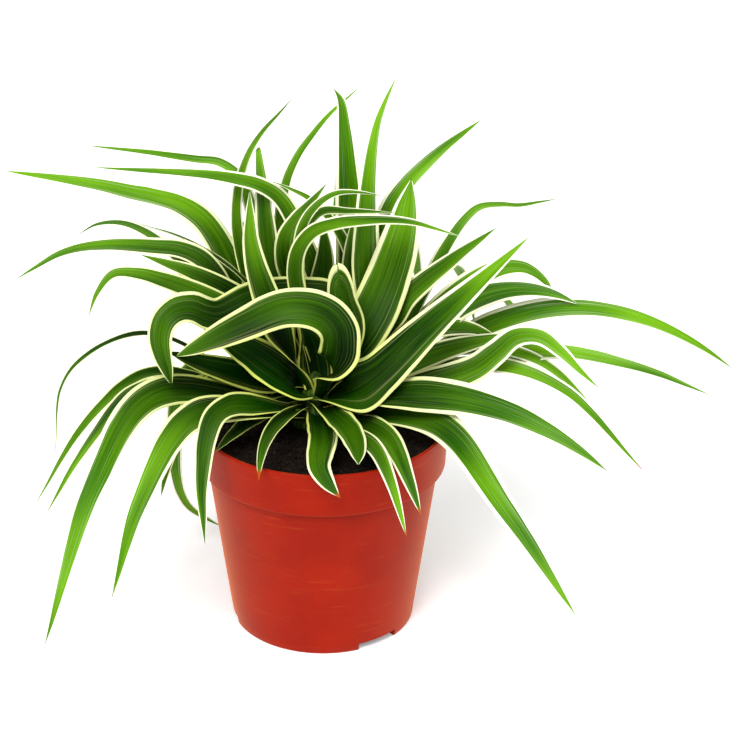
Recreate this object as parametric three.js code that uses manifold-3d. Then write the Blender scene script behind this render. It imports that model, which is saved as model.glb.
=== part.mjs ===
// A spider plant with cream-edged leaves in a plastic nursery pot.
// Millimetres, +Z up, -Y towards the viewer. The origin is the centre of the pot's underside.

import * as THREE from "three";
import { mergeVertices } from "three/addons/utils/BufferGeometryUtils.js";
import Module from "manifold-3d";

const wasm = await Module();
wasm.setup();

// Pot: a 12 cm nursery pot with a stepped collar and drain cut-outs round its foot
const POT_HEIGHT = 105;
const RIM_RADIUS = 60;
const COLLAR_FOOT_RADIUS = 59;
const COLLAR_FOOT_HEIGHT = 83;
const NECK_RADIUS = 55.5;
const FOOT_RADIUS = 44.5;
const WALL = 1.6;
const FLOOR = 2;
const RIM_ROUND = 0.6;
const POT_SIDES = 72;
const CUTOUT_COUNT = 3;
const CUTOUT_WIDTH = 22;
const CUTOUT_HEIGHT = 4;
const CUTOUT_DEPTH = 8;
const CUTOUT_FIRST_DEG = -53;

// Soil: fills the pot to a few millimetres under the rim, with a crumbled top
const GAP = 0.3;
const SOIL_CLEAR = 0.5;
const SOIL_TOP = 98;
const SOIL_SIDES = 40;
const SOIL_RINGS = 9;
const SOIL_CRUMB = 1.1;
const SOIL_SEED = 7;

// Crowns: the short stocks of leaf sheaths that the leaves grow from
const CROWN_FOOT_RADIUS = 12;
const CROWN_TOP_RADIUS = 3;
const ROOT_RADIUS = 7;
const ROOT_DEPTH = 16;
const CROWN_SIDES = 16;
const CROWNS = {
  front: { x: -4, y: 6, rise: 28 },
  left: { x: -25, y: 30, rise: 20 },
  right: { x: 24, y: 32, rise: 24 },
};

// Leaves: folded along the midrib, narrow at the foot, broadest near the middle, pointed
const BLADE = 0.8;
const FOOT_WIDTH_SHARE = 0.36;
const FOOT_FOLD_DEG = 20;
const BLADE_FOLD_DEG = 12;
const STATION_SPACING = 12;
const LEAST_SEGMENTS = 9;

// Seats: how far up and how deep in its crown each leaf's foot stands
const SEAT_STEP = 2.2;
const SEAT_FIRST = 3;
const SEAT_SPREAD_DEG = 40;
const SEAT_DEPTH = 1.5;
const INNER_SEAT_SHARE = 0.7;
const INNER_SEAT_DEPTH = 3;

// Shape of a blade along its length, as shares of the length from foot to tip
const WIDENS_BY = 0.35;
const FLATTENS_BY = 0.4;
const TURNS_BY = 0.45;
const TAPER_POWER = 2.4;
const TIP_POWER = 0.9;
const INWARD_LEAN = 0.2;

// The viewer looks down on the plant at this angle
const SIGHT_DEG = 25.4;

// Settling: how far, how finely and how many times crossing leaves are moved apart
const SETTLE_ROUNDS = 80;
const SETTLE_SHARE = 0.5;
const EVEN_SHARE = 0.3;
const CELL = 1.5;
const CELL_ROWS = 4096;
const SAMPLE_STEP = 1.2;
const EDGE_MARGIN = 0.6;
const BLADE_MARGIN = 0.2;
const LEAST_FACING = 0.22;
const NEAR_RANGE = 14;
const ORDER_RANGE = 6;
const POT_MARGIN = 1.5;
const RIM_BAND = 8;
const FIRM_STATIONS = 1.6;
const FOOT_FREEDOM = 0.3;
const FOOT_SLACK = 1.5;
const STATION_SLACK = 4;
const MOST_LEAVES = 1000;

// Each leaf has a crown, a greatest width, how far its blade turns to face the viewer
// (0 to 1), and the points that its midrib passes on the way to its tip. A turn gives the
// side of the crown that its foot stands on, where that isn't the side it leaves to. Taper,
// widens and turns replace TAPER_POWER, WIDENS_BY and TURNS_BY where a leaf keeps its width,
// reaches it or turns its face otherwise than most do. Spacing replaces STATION_SPACING where
// a leaf curls tightly.
const LEAVES = {
  leaf_low_left: [
    {
      crown: "front", width: 17, face: 0.8,
      route: [[-78, -22, 128], [-103, -68, 106], [-125, -105, 43]],
    },
    {
      crown: "front", width: 16.5, face: 0.7,
      route: [[-60, -40, 125], [-82, -72, 100], [-95, -96, 62]],
    },
    { crown: "front", width: 13, face: 0.8, route: [[-48, -34, 125], [-55, -53, 104], [-54, -66, 73]] },
    { crown: "left", width: 8, face: 0.3, route: [[-83, 14, 122], [-111, -8, 108], [-135, -38, 78]] },
    {
      crown: "front", width: 10, face: 0.3,
      route: [[-84, -8, 125], [-110, -36, 107], [-127, -62, 86]],
    },
    { crown: "left", width: 6, face: 0, route: [[-86, 22, 139], [-122, 8, 124], [-129, -4, 83]] },
    {
      crown: "left", width: 11, face: 0.8,
      route: [[-64, 38, 112], [-75, 50, 60], [-70, 58, 26], [-52, 64, 9]],
    },
    { crown: "left", width: 12, face: 0.5, route: [[-59, 10, 112], [-78, -10, 67]] },
  ],
  leaf_front: [
    { crown: "front", width: 11, face: 0.5, route: [[-29, -12, 113], [-50, -40, 107]] },
    { crown: "front", width: 8, face: 0.4, route: [[-24, -30, 113], [-29, -66, 106]] },
    {
      crown: "front", width: 14, taper: 5, face: 0.6,
      route: [[0, -34, 112], [-1, -62, 108], [8, -72, 100]],
    },
    {
      crown: "front", width: 13, taper: 5, turn: -95, face: 0.4,
      route: [[11, -25, 112], [16, -56, 109]],
    },
    { crown: "front", width: 14, face: 0.6, route: [[29, -36, 113], [38, -60, 106], [45, -70, 89]] },
    { crown: "front", width: 10, face: 0.5, route: [[23, -42, 111], [31, -66, 104], [38, -76, 82]] },
  ],
  leaf_low_right: [
    { crown: "front", width: 17, face: 0.7, route: [[54, -28, 115], [82, -64, 92], [114, -98, 54]] },
    { crown: "front", width: 19, face: 0.8, route: [[68, -25, 126], [130, -55, 105]] },
    {
      crown: "front", width: 11, turn: 24, face: 0.4,
      route: [[75, 6, 130], [112, -6, 124], [150, -35, 94]],
    },
  ],
  leaf_heart: [
    {
      crown: "front", width: 24, taper: 1.4, widens: 0.2, turns: 0.25, face: 0.9,
      route: [[20, -8, 126], [50, -4, 155], [95, -4, 200]],
    },
    {
      crown: "right", width: 13, turn: -48, face: 0.9,
      route: [[37, 24, 153], [56, 24, 172], [82, 20, 195]],
    },
    {
      crown: "front", width: 19, taper: 5, widens: 0.2, turns: 0.3, spacing: 8, face: 0.9,
      route: [
        [5, -5, 132], [8, -10, 146], [6, -14, 160], [-3, -16, 168],
        [-18, -16, 169], [-38, -18, 161], [-68, -28, 150],
      ],
    },
    {
      crown: "right", width: 16.8, taper: 8, spacing: 8, face: 0.8,
      route: [
        [7, 22, 155], [-11, 16, 162], [-31, 8, 164], [-50, -4, 160],
        [-62, -11, 167], [-71, -16, 166], [-75, -20, 156], [-70, -24, 133],
      ],
    },
    {
      crown: "front", width: 14, taper: 10, spacing: 5, turn: -20, face: 0.9,
      route: [[13, 6, 148], [9, 4, 166], [7, 5, 183]],
    },
    { crown: "front", width: 22, widens: 0.2, face: 0.7, route: [[-29, -2, 136], [-59, 4, 153]] },
  ],
  leaf_left: [
    {
      crown: "left", width: 15, turn: 172, face: 0.6,
      route: [[-59, 40, 192], [-97, 46, 204], [-153, 50, 212]],
    },
    {
      crown: "left", width: 8, turn: 140, face: 0.4,
      route: [[-42, 58, 208], [-69, 68, 212], [-117, 85, 212]],
    },
    {
      crown: "right", width: 13, taper: 1.5, face: 0.8,
      route: [[-21, 45, 200], [-39, 42, 210], [-112, 60, 210]],
    },
    {
      crown: "left", width: 12, face: 0.7,
      route: [[-58, 26, 176], [-86, 20, 185], [-118, 8, 188], [-143, -4, 178]],
    },
    { crown: "left", width: 9, face: 0.4, route: [[-78, 35, 181], [-118, 35, 184]] },
    {
      crown: "left", width: 12, turn: -60, face: 0.5,
      route: [[-30, 24, 154], [-59, 38, 177], [-96, 50, 187]],
    },
    {
      crown: "front", width: 15, turn: 131, face: 0.8,
      route: [[-24, 10, 148], [-55, 14, 171], [-86, 15, 183]],
    },
    {
      crown: "front", width: 13, turn: 165, face: 0.7,
      route: [[-28, 6, 145], [-65, 6, 170], [-99, 0, 179], [-109, -10, 162]],
    },
  ],
  leaf_top: [
    {
      crown: "left", width: 8, turn: 124, face: 0.3,
      route: [[-42, 48, 190], [-35, 58, 219], [-14, 75, 240]],
    },
    {
      crown: "left", width: 13, taper: 3, turn: 48, face: 0.8,
      route: [[-29, 45, 204], [-31, 60, 221]],
    },
    {
      crown: "front", width: 15, turn: 70, face: 0.8,
      route: [[-7, 19, 150], [-18, 14, 190], [2, 8, 222]],
    },
    { crown: "front", width: 16, face: 0.9, route: [[-22, 4, 152], [-33, 10, 187], [-34, 16, 215]] },
    {
      crown: "left", width: 8, turn: 25, face: 0.4,
      route: [[-18, 55, 203], [-1, 68, 229], [19, 85, 243]],
    },
    {
      crown: "right", width: 16, taper: 3.5, turn: 178, face: 0.8,
      route: [[11, 48, 223], [5, 60, 250]],
    },
    {
      crown: "right", width: 20, taper: 1.3, face: 0.8,
      route: [[21, 38, 204], [26, 50, 237], [35, 62, 255]],
    },
    {
      crown: "right", width: 15, turn: 0, face: 0.8,
      route: [[26, 40, 169], [35, 50, 197], [52, 58, 215], [77, 70, 231]],
    },
    {
      crown: "front", width: 23, taper: 5, turn: 48, face: 0.9,
      route: [[19, 15, 142], [30, 28, 162], [38, 36, 187], [42, 44, 210]],
    },
    {
      crown: "front", width: 9, turn: 31, face: 0.7,
      route: [[-13, 16, 179], [-4, 13, 196], [12, 9, 202], [38, 5, 204], [64, 0, 198]],
    },
    {
      crown: "left", width: 9, turn: -16, face: 0.7,
      route: [[-11, 28, 182], [-2, 25, 200], [13, 22, 202], [35, 20, 202]],
    },
  ],
  leaf_right: [
    { crown: "right", width: 14, face: 0.7, route: [[113, 18, 154], [195, 0, 130]] },
    { crown: "right", width: 12, face: 0.6, route: [[103, 10, 135], [150, -2, 132], [182, -15, 124]] },
    { crown: "right", width: 17, turn: -12, face: 0.8, route: [[75, 25, 157], [122, 20, 155]] },
    { crown: "right", width: 17, face: 0.7, route: [[81, 45, 161], [114, 45, 147]] },
    {
      crown: "front", width: 16, turn: 6, face: 0.9,
      route: [[70, 4, 128], [97, 0, 149], [129, -18, 129]],
    },
    { crown: "front", width: 15, face: 0.8, route: [[51, 12, 132], [94, 12, 143]] },
    {
      crown: "right", width: 9, turn: 26, face: 0.4,
      route: [[74, 66, 185], [97, 78, 183], [118, 90, 182]],
    },
  ],
  leaf_back: [
    { crown: "right", width: 12, turn: 62, face: 0, route: [[60, 90, 145], [82, 150, 85]] },
    { crown: "right", width: 11, turn: 91, face: 0, route: [[40, 100, 160], [55, 165, 75]] },
    { crown: "right", width: 12, face: 0, route: [[15, 100, 190], [5, 175, 130]] },
    { crown: "left", width: 11, face: 0, route: [[-35, 100, 165], [-55, 165, 85]] },
    { crown: "left", width: 12, face: 0, route: [[-58, 85, 148], [-80, 140, 100]] },
    { crown: "right", width: 11, face: 0, route: [[80, 62, 140], [100, 100, 100]] },
  ],
};

// Leaves that are still joined to their crown. They stand between the others, half hidden.
const INNER_LEAVES = [
  {
    crown: "front", width: 8, face: 0.6,
    route: [[-12, 20, 183], [-5, 22, 204], [6, 24, 210], [28, 24, 208]],
  },
  {
    crown: "right", width: 8, face: 0.5,
    route: [[14, 38, 170], [1, 42, 193], [-11, 44, 203], [-25, 46, 208]],
  },
  {
    crown: "right", width: 9, face: 0.6,
    route: [[63, 16, 133], [90, 8, 137], [113, 2, 126], [136, -8, 102]],
  },
  { crown: "right", width: 18, taper: 5, face: 0.9, route: [[16, 32, 152], [14, 42, 189]] },
  { crown: "left", width: 17, taper: 5, face: 0.9, route: [[-2, 40, 149], [0, 50, 186]] },
  { crown: "left", width: 17, taper: 4, face: 0.9, route: [[-30, 42, 153], [-28, 54, 195]] },
  { crown: "left", width: 17, taper: 5, face: 0.9, route: [[-20, 24, 143], [-15, 30, 173]] },
  { crown: "front", width: 18, taper: 4, face: 0.9, route: [[-5, 2, 140], [-11, 2, 154]] },
  { crown: "front", width: 17, face: 0.8, route: [[-42, 4, 127], [-74, 4, 138]] },
  { crown: "left", width: 16, face: 0.7, route: [[-52, 20, 112], [-83, 12, 114]] },
  { crown: "right", width: 15, face: 0.8, route: [[52, 26, 140], [84, 22, 137]] },
];

const radians = THREE.MathUtils.degToRad;
const smooth = (x) => THREE.MathUtils.smoothstep(x, 0, 1);
const UP = new THREE.Vector3(0, 0, 1);
const SIGHT = new THREE.Vector3(0, Math.cos(radians(SIGHT_DEG)), -Math.sin(radians(SIGHT_DEG)));
const PICTURE_UP = new THREE.Vector3(0, Math.sin(radians(SIGHT_DEG)), Math.cos(radians(SIGHT_DEG)));

// Repeatable draws between 0 and 1
function seededRandom(seed) {
  let state = seed;
  return () => {
    state = (Math.imul(state, 1664525) + 1013904223) >>> 0;
    return state / 4294967296;
  };
}

// A closed mesh with shared vertices becomes a solid, and back
function solidOf(geometry) {
  const plain = geometry.clone();
  plain.deleteAttribute("normal");
  plain.deleteAttribute("uv");
  const merged = mergeVertices(plain, 1e-4);
  return new wasm.Manifold(new wasm.Mesh({
    numProp: 3,
    vertProperties: new Float32Array(merged.attributes.position.array),
    triVerts: new Uint32Array(merged.index.array),
  }));
}

function geometryOf(solid) {
  const mesh = solid.getMesh();
  const geometry = new THREE.BufferGeometry();
  geometry.setAttribute("position", new THREE.BufferAttribute(mesh.vertProperties, 3));
  geometry.setIndex(new THREE.BufferAttribute(mesh.triVerts, 1));
  return geometry;
}

function geometryFrom(points, faces) {
  const geometry = new THREE.BufferGeometry();
  geometry.setAttribute("position", new THREE.Float32BufferAttribute(points.flat(), 3));
  geometry.setIndex(faces.flat());
  return geometry;
}

// A profile of [radius, height] points turned round the upright axis
function turned(profile, sides) {
  const points = profile.map(([radius, height]) => new THREE.Vector2(radius, height));
  return new THREE.LatheGeometry(points, sides).rotateX(Math.PI / 2);
}

// Outer radius of the pot at a height, with the step under the collar
function potRadius(height) {
  if (height < COLLAR_FOOT_HEIGHT) {
    return THREE.MathUtils.lerp(FOOT_RADIUS, NECK_RADIUS, height / COLLAR_FOOT_HEIGHT);
  }
  const share = (height - COLLAR_FOOT_HEIGHT) / (POT_HEIGHT - COLLAR_FOOT_HEIGHT);
  return THREE.MathUtils.lerp(COLLAR_FOOT_RADIUS, RIM_RADIUS, share);
}

function potGeometry() {
  const shell = turned([
    [0, 0],
    [FOOT_RADIUS - 1, 0],
    [FOOT_RADIUS, 1],
    [NECK_RADIUS, COLLAR_FOOT_HEIGHT],
    [COLLAR_FOOT_RADIUS, COLLAR_FOOT_HEIGHT + 0.5],
    [RIM_RADIUS, POT_HEIGHT - RIM_ROUND],
    [RIM_RADIUS - RIM_ROUND, POT_HEIGHT],
    [RIM_RADIUS - WALL, POT_HEIGHT],
    [COLLAR_FOOT_RADIUS - WALL, COLLAR_FOOT_HEIGHT + 1],
    [NECK_RADIUS - WALL, COLLAR_FOOT_HEIGHT - 1],
    [FOOT_RADIUS - WALL, FLOOR],
    [0, FLOOR],
  ], POT_SIDES);
  let pot = solidOf(shell);
  for (let i = 0; i < CUTOUT_COUNT; i++) {
    const angle = radians(CUTOUT_FIRST_DEG + (i * 360) / CUTOUT_COUNT);
    const cutter = new THREE.BoxGeometry(CUTOUT_DEPTH * 2, CUTOUT_WIDTH, CUTOUT_HEIGHT * 2);
    cutter.translate(FOOT_RADIUS, 0, 0).rotateZ(angle);
    pot = pot.subtract(solidOf(cutter));
  }
  return geometryOf(pot);
}

// Crumbs: the soil's top is a polar grid, each point raised or sunk by a seeded draw
function soilGeometry() {
  const random = seededRandom(SOIL_SEED);
  const points = [];
  const faces = [];
  const shoulderHeight = COLLAR_FOOT_HEIGHT - 2;
  const wallRadius = (height) => potRadius(Math.min(height, shoulderHeight)) - WALL - SOIL_CLEAR;
  const ring = (radius, height, crumb) => {
    const first = points.length;
    for (let i = 0; i < SOIL_SIDES; i++) {
      const angle = (i * 2 * Math.PI) / SOIL_SIDES;
      const rise = height + crumb * (random() - 0.5) * 2;
      points.push([radius * Math.cos(angle), radius * Math.sin(angle), rise]);
    }
    return first;
  };
  const join = (lower, upper) => {
    for (let i = 0; i < SOIL_SIDES; i++) {
      const next = (i + 1) % SOIL_SIDES;
      faces.push([lower + i, lower + next, upper + next], [lower + i, upper + next, upper + i]);
    }
  };
  const bottom = FLOOR + GAP;
  const edge = wallRadius(SOIL_TOP);
  let last = ring(wallRadius(bottom), bottom, 0);
  const foot = last;
  const shoulder = ring(wallRadius(shoulderHeight), shoulderHeight, 0);
  join(last, shoulder);
  last = shoulder;
  for (let i = 0; i < SOIL_RINGS; i++) {
    const radius = edge * (1 - i / SOIL_RINGS);
    const current = ring(radius, SOIL_TOP, SOIL_CRUMB);
    join(last, current);
    last = current;
  }
  points.push([0, 0, SOIL_TOP], [0, 0, bottom]);
  for (let i = 0; i < SOIL_SIDES; i++) {
    const next = (i + 1) % SOIL_SIDES;
    faces.push([last + i, last + next, points.length - 2], [foot + next, foot + i, points.length - 1]);
  }
  let soil = solidOf(geometryFrom(points, faces));
  for (const { x, y } of Object.values(CROWNS)) {
    const hole = turned([
      [0, SOIL_TOP - ROOT_DEPTH - GAP],
      [ROOT_RADIUS + GAP, SOIL_TOP - ROOT_DEPTH - GAP],
      [ROOT_RADIUS + GAP, SOIL_TOP + 2 * SOIL_CRUMB],
      [0, SOIL_TOP + 2 * SOIL_CRUMB],
    ], CROWN_SIDES);
    soil = soil.subtract(solidOf(hole.translate(x, y, 0)));
  }
  return geometryOf(soil);
}

// Radius of a crown at a height above the soil
function crownRadius(crown, rise) {
  return THREE.MathUtils.lerp(CROWN_FOOT_RADIUS, CROWN_TOP_RADIUS, rise / CROWNS[crown].rise);
}

// A crown: the root stub in the soil's hole and the stock above it, grown together with its
// inner leaves, with a socket round each other leaf's foot
function crownGeometry(name, leaves) {
  const { x, y, rise } = CROWNS[name];
  const standing = SOIL_TOP + SOIL_CRUMB + GAP;
  const stock = turned([
    [0, SOIL_TOP - ROOT_DEPTH],
    [ROOT_RADIUS, SOIL_TOP - ROOT_DEPTH],
    [ROOT_RADIUS, standing],
    [CROWN_FOOT_RADIUS, standing],
    [CROWN_TOP_RADIUS, SOIL_TOP + rise],
    [0, SOIL_TOP + rise + 2],
  ], CROWN_SIDES);
  let crown = solidOf(stock.translate(x, y, 0));
  for (const leaf of leaves.filter((each) => each.inner && each.crown === name)) {
    crown = crown.add(solidOf(leaf.geometry()));
  }
  for (const leaf of leaves.filter((each) => !each.inner)) {
    crown = crown.subtract(solidOf(leaf.geometry(GAP)));
  }
  const parts = crown.decompose().sort((a, b) => b.volume() - a.volume());
  return geometryOf(parts[0]);
}

// The midrib: a plain arc through two points, or a smooth curve through more
function midribCurve(foot, route) {
  const points = route.map((point) => new THREE.Vector3(...point));
  if (points.length > 2) {
    return new THREE.CatmullRomCurve3([foot, ...points], false, "centripetal");
  }
  const [middle, tip] = points;
  const ends = foot.clone().add(tip);
  const control = middle.clone().multiplyScalar(2).addScaledVector(ends, -0.5);
  return new THREE.QuadraticBezierCurve3(foot, control, tip);
}

class Leaf {
  constructor(name, row, inner = false) {
    const { crown, width, face, route, turn } = row;
    const { taper = TAPER_POWER, widens = WIDENS_BY, turns = TURNS_BY, spacing = STATION_SPACING } = row;
    this.name = name;
    this.crown = crown;
    this.width = width;
    this.face = face;
    this.route = route;
    this.taper = taper;
    this.widens = widens;
    this.turns = turns;
    this.spacing = spacing;
    this.inner = inner;
    this.firm = false;
    const { x, y } = CROWNS[crown];
    const start = midribCurve(new THREE.Vector3(x, y, SOIL_TOP + SEAT_FIRST), route).getTangent(0);
    this.heading = turn === undefined ? Math.atan2(start.y, start.x) : radians(turn);
    this.steepness = Math.atan2(start.z, Math.hypot(start.x, start.y));
  }

  // The foot sits in the crown, at the height that the leaves below it leave free
  seat(rise, depth) {
    const { x, y } = CROWNS[this.crown];
    const radius = crownRadius(this.crown, rise) - depth;
    this.rise = rise;
    const foot = new THREE.Vector3(
      x + radius * Math.cos(this.heading),
      y + radius * Math.sin(this.heading),
      SOIL_TOP + rise,
    );
    const midrib = midribCurve(foot, this.route);
    this.segments = Math.max(LEAST_SEGMENTS, Math.round(midrib.getLength() / this.spacing));
    this.drawn = midrib.getSpacedPoints(this.segments);
    this.moved = this.drawn.map(() => new THREE.Vector3());
  }

  // How freely a station moves: less at the foot, freely past the first few stations
  freedom(station) {
    return this.firm ? 0 : THREE.MathUtils.lerp(FOOT_FREEDOM, 1, smooth(station / FIRM_STATIONS));
  }

  halfWidth(t) {
    const foot = FOOT_WIDTH_SHARE + (1 - FOOT_WIDTH_SHARE) * smooth(t / this.widens);
    return 0.5 * this.width * foot * (1 - t ** this.taper) ** TIP_POWER;
  }

  fold(t) {
    const share = smooth(t / FLATTENS_BY);
    return Math.tan(radians(THREE.MathUtils.lerp(FOOT_FOLD_DEG, BLADE_FOLD_DEG, share)));
  }

  // Midrib points with the blade's side and upper directions at each
  frames() {
    const points = this.drawn.map((point, k) => point.clone().add(this.moved[k]));
    const last = points.length - 1;
    const outward = new THREE.Vector3(Math.cos(this.heading), Math.sin(this.heading), 0);
    const normal = new THREE.Vector3();
    let lastAlong = null;
    return points.map((point, k) => {
      const before = points[Math.max(k - 1, 0)];
      const after = points[Math.min(k + 1, last)];
      const along = after.clone().sub(before).normalize();
      if (lastAlong === null) {
        normal.copy(UP).addScaledVector(outward, -INWARD_LEAN);
      } else {
        normal.applyQuaternion(new THREE.Quaternion().setFromUnitVectors(lastAlong, along));
      }
      normal.addScaledVector(along, -normal.dot(along)).normalize();
      lastAlong = along;
      const toViewer = SIGHT.clone().negate();
      toViewer.addScaledVector(along, -toViewer.dot(along)).normalize();
      const turn = this.face * smooth((k / last) / this.turns);
      const upper = normal.clone().lerp(toViewer, turn);
      upper.addScaledVector(along, -upper.dot(along)).normalize();
      const side = new THREE.Vector3().crossVectors(along, upper);
      return { point, along, upper, side, t: k / last };
    });
  }

  // A point of the blade: across is -1 at one edge, 0 on the midrib, 1 at the other
  static bladePoint(frame, halfWidth, fold, across, lift) {
    const rise = lift + Math.abs(across) * halfWidth * fold;
    return frame.point.clone()
      .addScaledVector(frame.side, across * halfWidth)
      .addScaledVector(frame.upper, rise);
  }

  geometry(extra = 0) {
    const points = [];
    const faces = [];
    const frames = this.frames();
    const last = frames.length - 1;
    for (const frame of frames.slice(0, last)) {
      const halfWidth = this.halfWidth(frame.t) + extra;
      const fold = this.fold(frame.t);
      const half = BLADE / 2 + extra;
      for (const [across, lift] of [[-1, 1], [0, 1], [1, 1], [1, -1], [0, -1], [-1, -1]]) {
        points.push(Leaf.bladePoint(frame, halfWidth, fold, across, lift * half).toArray());
      }
    }
    points.push(frames[last].point.toArray());
    const apex = points.length - 1;
    for (let k = 0; k < last - 1; k++) {
      const a = 6 * k;
      const b = a + 6;
      faces.push(
        [a, a + 1, b + 1], [a, b + 1, b],
        [a + 1, a + 2, b + 1], [a + 2, b + 2, b + 1],
        [a + 5, b + 4, a + 4], [a + 5, b + 5, b + 4],
        [a + 4, b + 4, a + 3], [a + 3, b + 4, b + 3],
        [a + 2, a + 3, b + 3], [a + 2, b + 3, b + 2],
        [a + 5, a, b], [a + 5, b, b + 5],
      );
    }
    const end = 6 * (last - 1);
    for (let i = 0; i < 6; i++) {
      faces.push([end + i, end + ((i + 1) % 6), apex]);
    }
    faces.push([1, 0, 5], [1, 5, 4], [1, 4, 3], [1, 3, 2]);
    return geometryFrom(points, faces);
  }
}

// Leaves sit on the crown from the flattest to the steepest, each above those it overlaps
function seatLeaves(leaves) {
  for (const crown of Object.keys(CROWNS)) {
    const seated = [];
    const own = leaves.filter((leaf) => leaf.crown === crown);
    own.sort((a, b) => a.steepness - b.steepness);
    for (const leaf of own) {
      let rise = SEAT_FIRST;
      for (const other of seated) {
        const turn = Math.abs(Math.atan2(
          Math.sin(leaf.heading - other.heading),
          Math.cos(leaf.heading - other.heading),
        ));
        if (turn < radians(SEAT_SPREAD_DEG)) {
          rise = Math.max(rise, other.rise + SEAT_STEP);
        }
      }
      leaf.seat(rise, SEAT_DEPTH);
      seated.push(leaf);
    }
  }
}

// Settling: leaves that cross as seen by the viewer are moved apart along the line of
// sight, smoothly along each leaf, so that the drawn outline stays and no blade passes
// through another.

// Marks of one blade on a grid square to the line of sight
function bladeSamples(leaf) {
  const samples = [];
  const frames = leaf.frames();
  for (let k = 0; k + 1 < frames.length; k++) {
    const steps = Math.ceil(frames[k].point.distanceTo(frames[k + 1].point) / SAMPLE_STEP);
    for (let i = 0; i < steps; i++) {
      const share = i / steps;
      const t = THREE.MathUtils.lerp(frames[k].t, frames[k + 1].t, share);
      const halfWidth = leaf.halfWidth(t) + EDGE_MARGIN;
      const fold = leaf.fold(t);
      const facingHere = frames[k].upper.dot(SIGHT);
      const facingNext = frames[k + 1].upper.dot(SIGHT);
      const facing = Math.abs(THREE.MathUtils.lerp(facingHere, facingNext, share));
      const columns = Math.ceil(halfWidth / SAMPLE_STEP);
      for (let j = -columns; j <= columns; j++) {
        const a = Leaf.bladePoint(frames[k], halfWidth, fold, j / columns, 0);
        const b = Leaf.bladePoint(frames[k + 1], halfWidth, fold, j / columns, 0);
        const point = a.lerp(b, share);
        samples.push({
          station: k + share,
          column: Math.round(point.x / CELL),
          row: Math.round(point.dot(PICTURE_UP) / CELL),
          depth: point.dot(SIGHT),
          spare: (0.5 * BLADE + BLADE_MARGIN) / Math.max(facing, LEAST_FACING),
        });
      }
    }
  }
  return samples;
}

// For each grid cell, the nearest and farthest mark of every blade in it
function sightGrid(leaves) {
  const cells = new Map();
  leaves.forEach((leaf, index) => {
    for (const sample of bladeSamples(leaf)) {
      const key = sample.column * CELL_ROWS + sample.row;
      let cell = cells.get(key);
      if (cell === undefined) {
        cell = new Map();
        cells.set(key, cell);
      }
      const mark = cell.get(index);
      if (mark === undefined) {
        const { depth, station, spare } = sample;
        cell.set(index, { near: depth, far: depth, station, spare });
      } else {
        mark.near = Math.min(mark.near, sample.depth);
        mark.far = Math.max(mark.far, sample.depth);
      }
    }
  });
  return cells;
}

// Calls visit(i, markI, j, markJ) for each pair of blades that share a grid cell
function eachMeeting(cells, visit) {
  for (const cell of cells.values()) {
    if (cell.size < 2) {
      continue;
    }
    const marks = [...cell.entries()].sort((a, b) => a[0] - b[0]);
    for (let m = 0; m < marks.length; m++) {
      for (let n = m + 1; n < marks.length; n++) {
        visit(marks[m][0], marks[m][1], marks[n][0], marks[n][1]);
      }
    }
  }
}

const pairKey = (i, j) => i * MOST_LEAVES + j;
const middleDepth = (mark) => 0.5 * (mark.near + mark.far);

// Which leaf of each pair passes in front: the one that mostly does as drawn
function drawnOrder(leaves, order) {
  const sums = new Map();
  eachMeeting(sightGrid(leaves), (i, a, j, b) => {
    const key = pairKey(i, j);
    const ahead = middleDepth(b) - middleDepth(a);
    const counted = THREE.MathUtils.clamp(ahead, -ORDER_RANGE, ORDER_RANGE);
    sums.set(key, (sums.get(key) ?? 0) + counted);
  });
  for (const [key, sum] of sums) {
    if (!order.has(key)) {
      order.set(key, sum >= 0 ? 1 : -1);
    }
  }
}

// Keeps a point outside the pot and above its rim, and above the surface it stands on
function clearOfPot(point, margin) {
  const radius = Math.hypot(point.x, point.y);
  const push = new THREE.Vector3();
  if (point.z < POT_HEIGHT + margin && radius < potRadius(Math.max(point.z, 0)) + margin) {
    const out = potRadius(Math.max(point.z, 0)) + margin - radius;
    const up = POT_HEIGHT + margin - point.z;
    if (up < out && radius > RIM_RADIUS - RIM_BAND) {
      push.z = up;
    } else if (radius > RIM_RADIUS - RIM_BAND) {
      push.set(point.x / radius, point.y / radius, 0).multiplyScalar(out);
    } else if (point.z < SOIL_TOP + SOIL_CRUMB + margin) {
      push.z = SOIL_TOP + SOIL_CRUMB + margin - point.z;
    }
  }
  return push;
}

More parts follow.
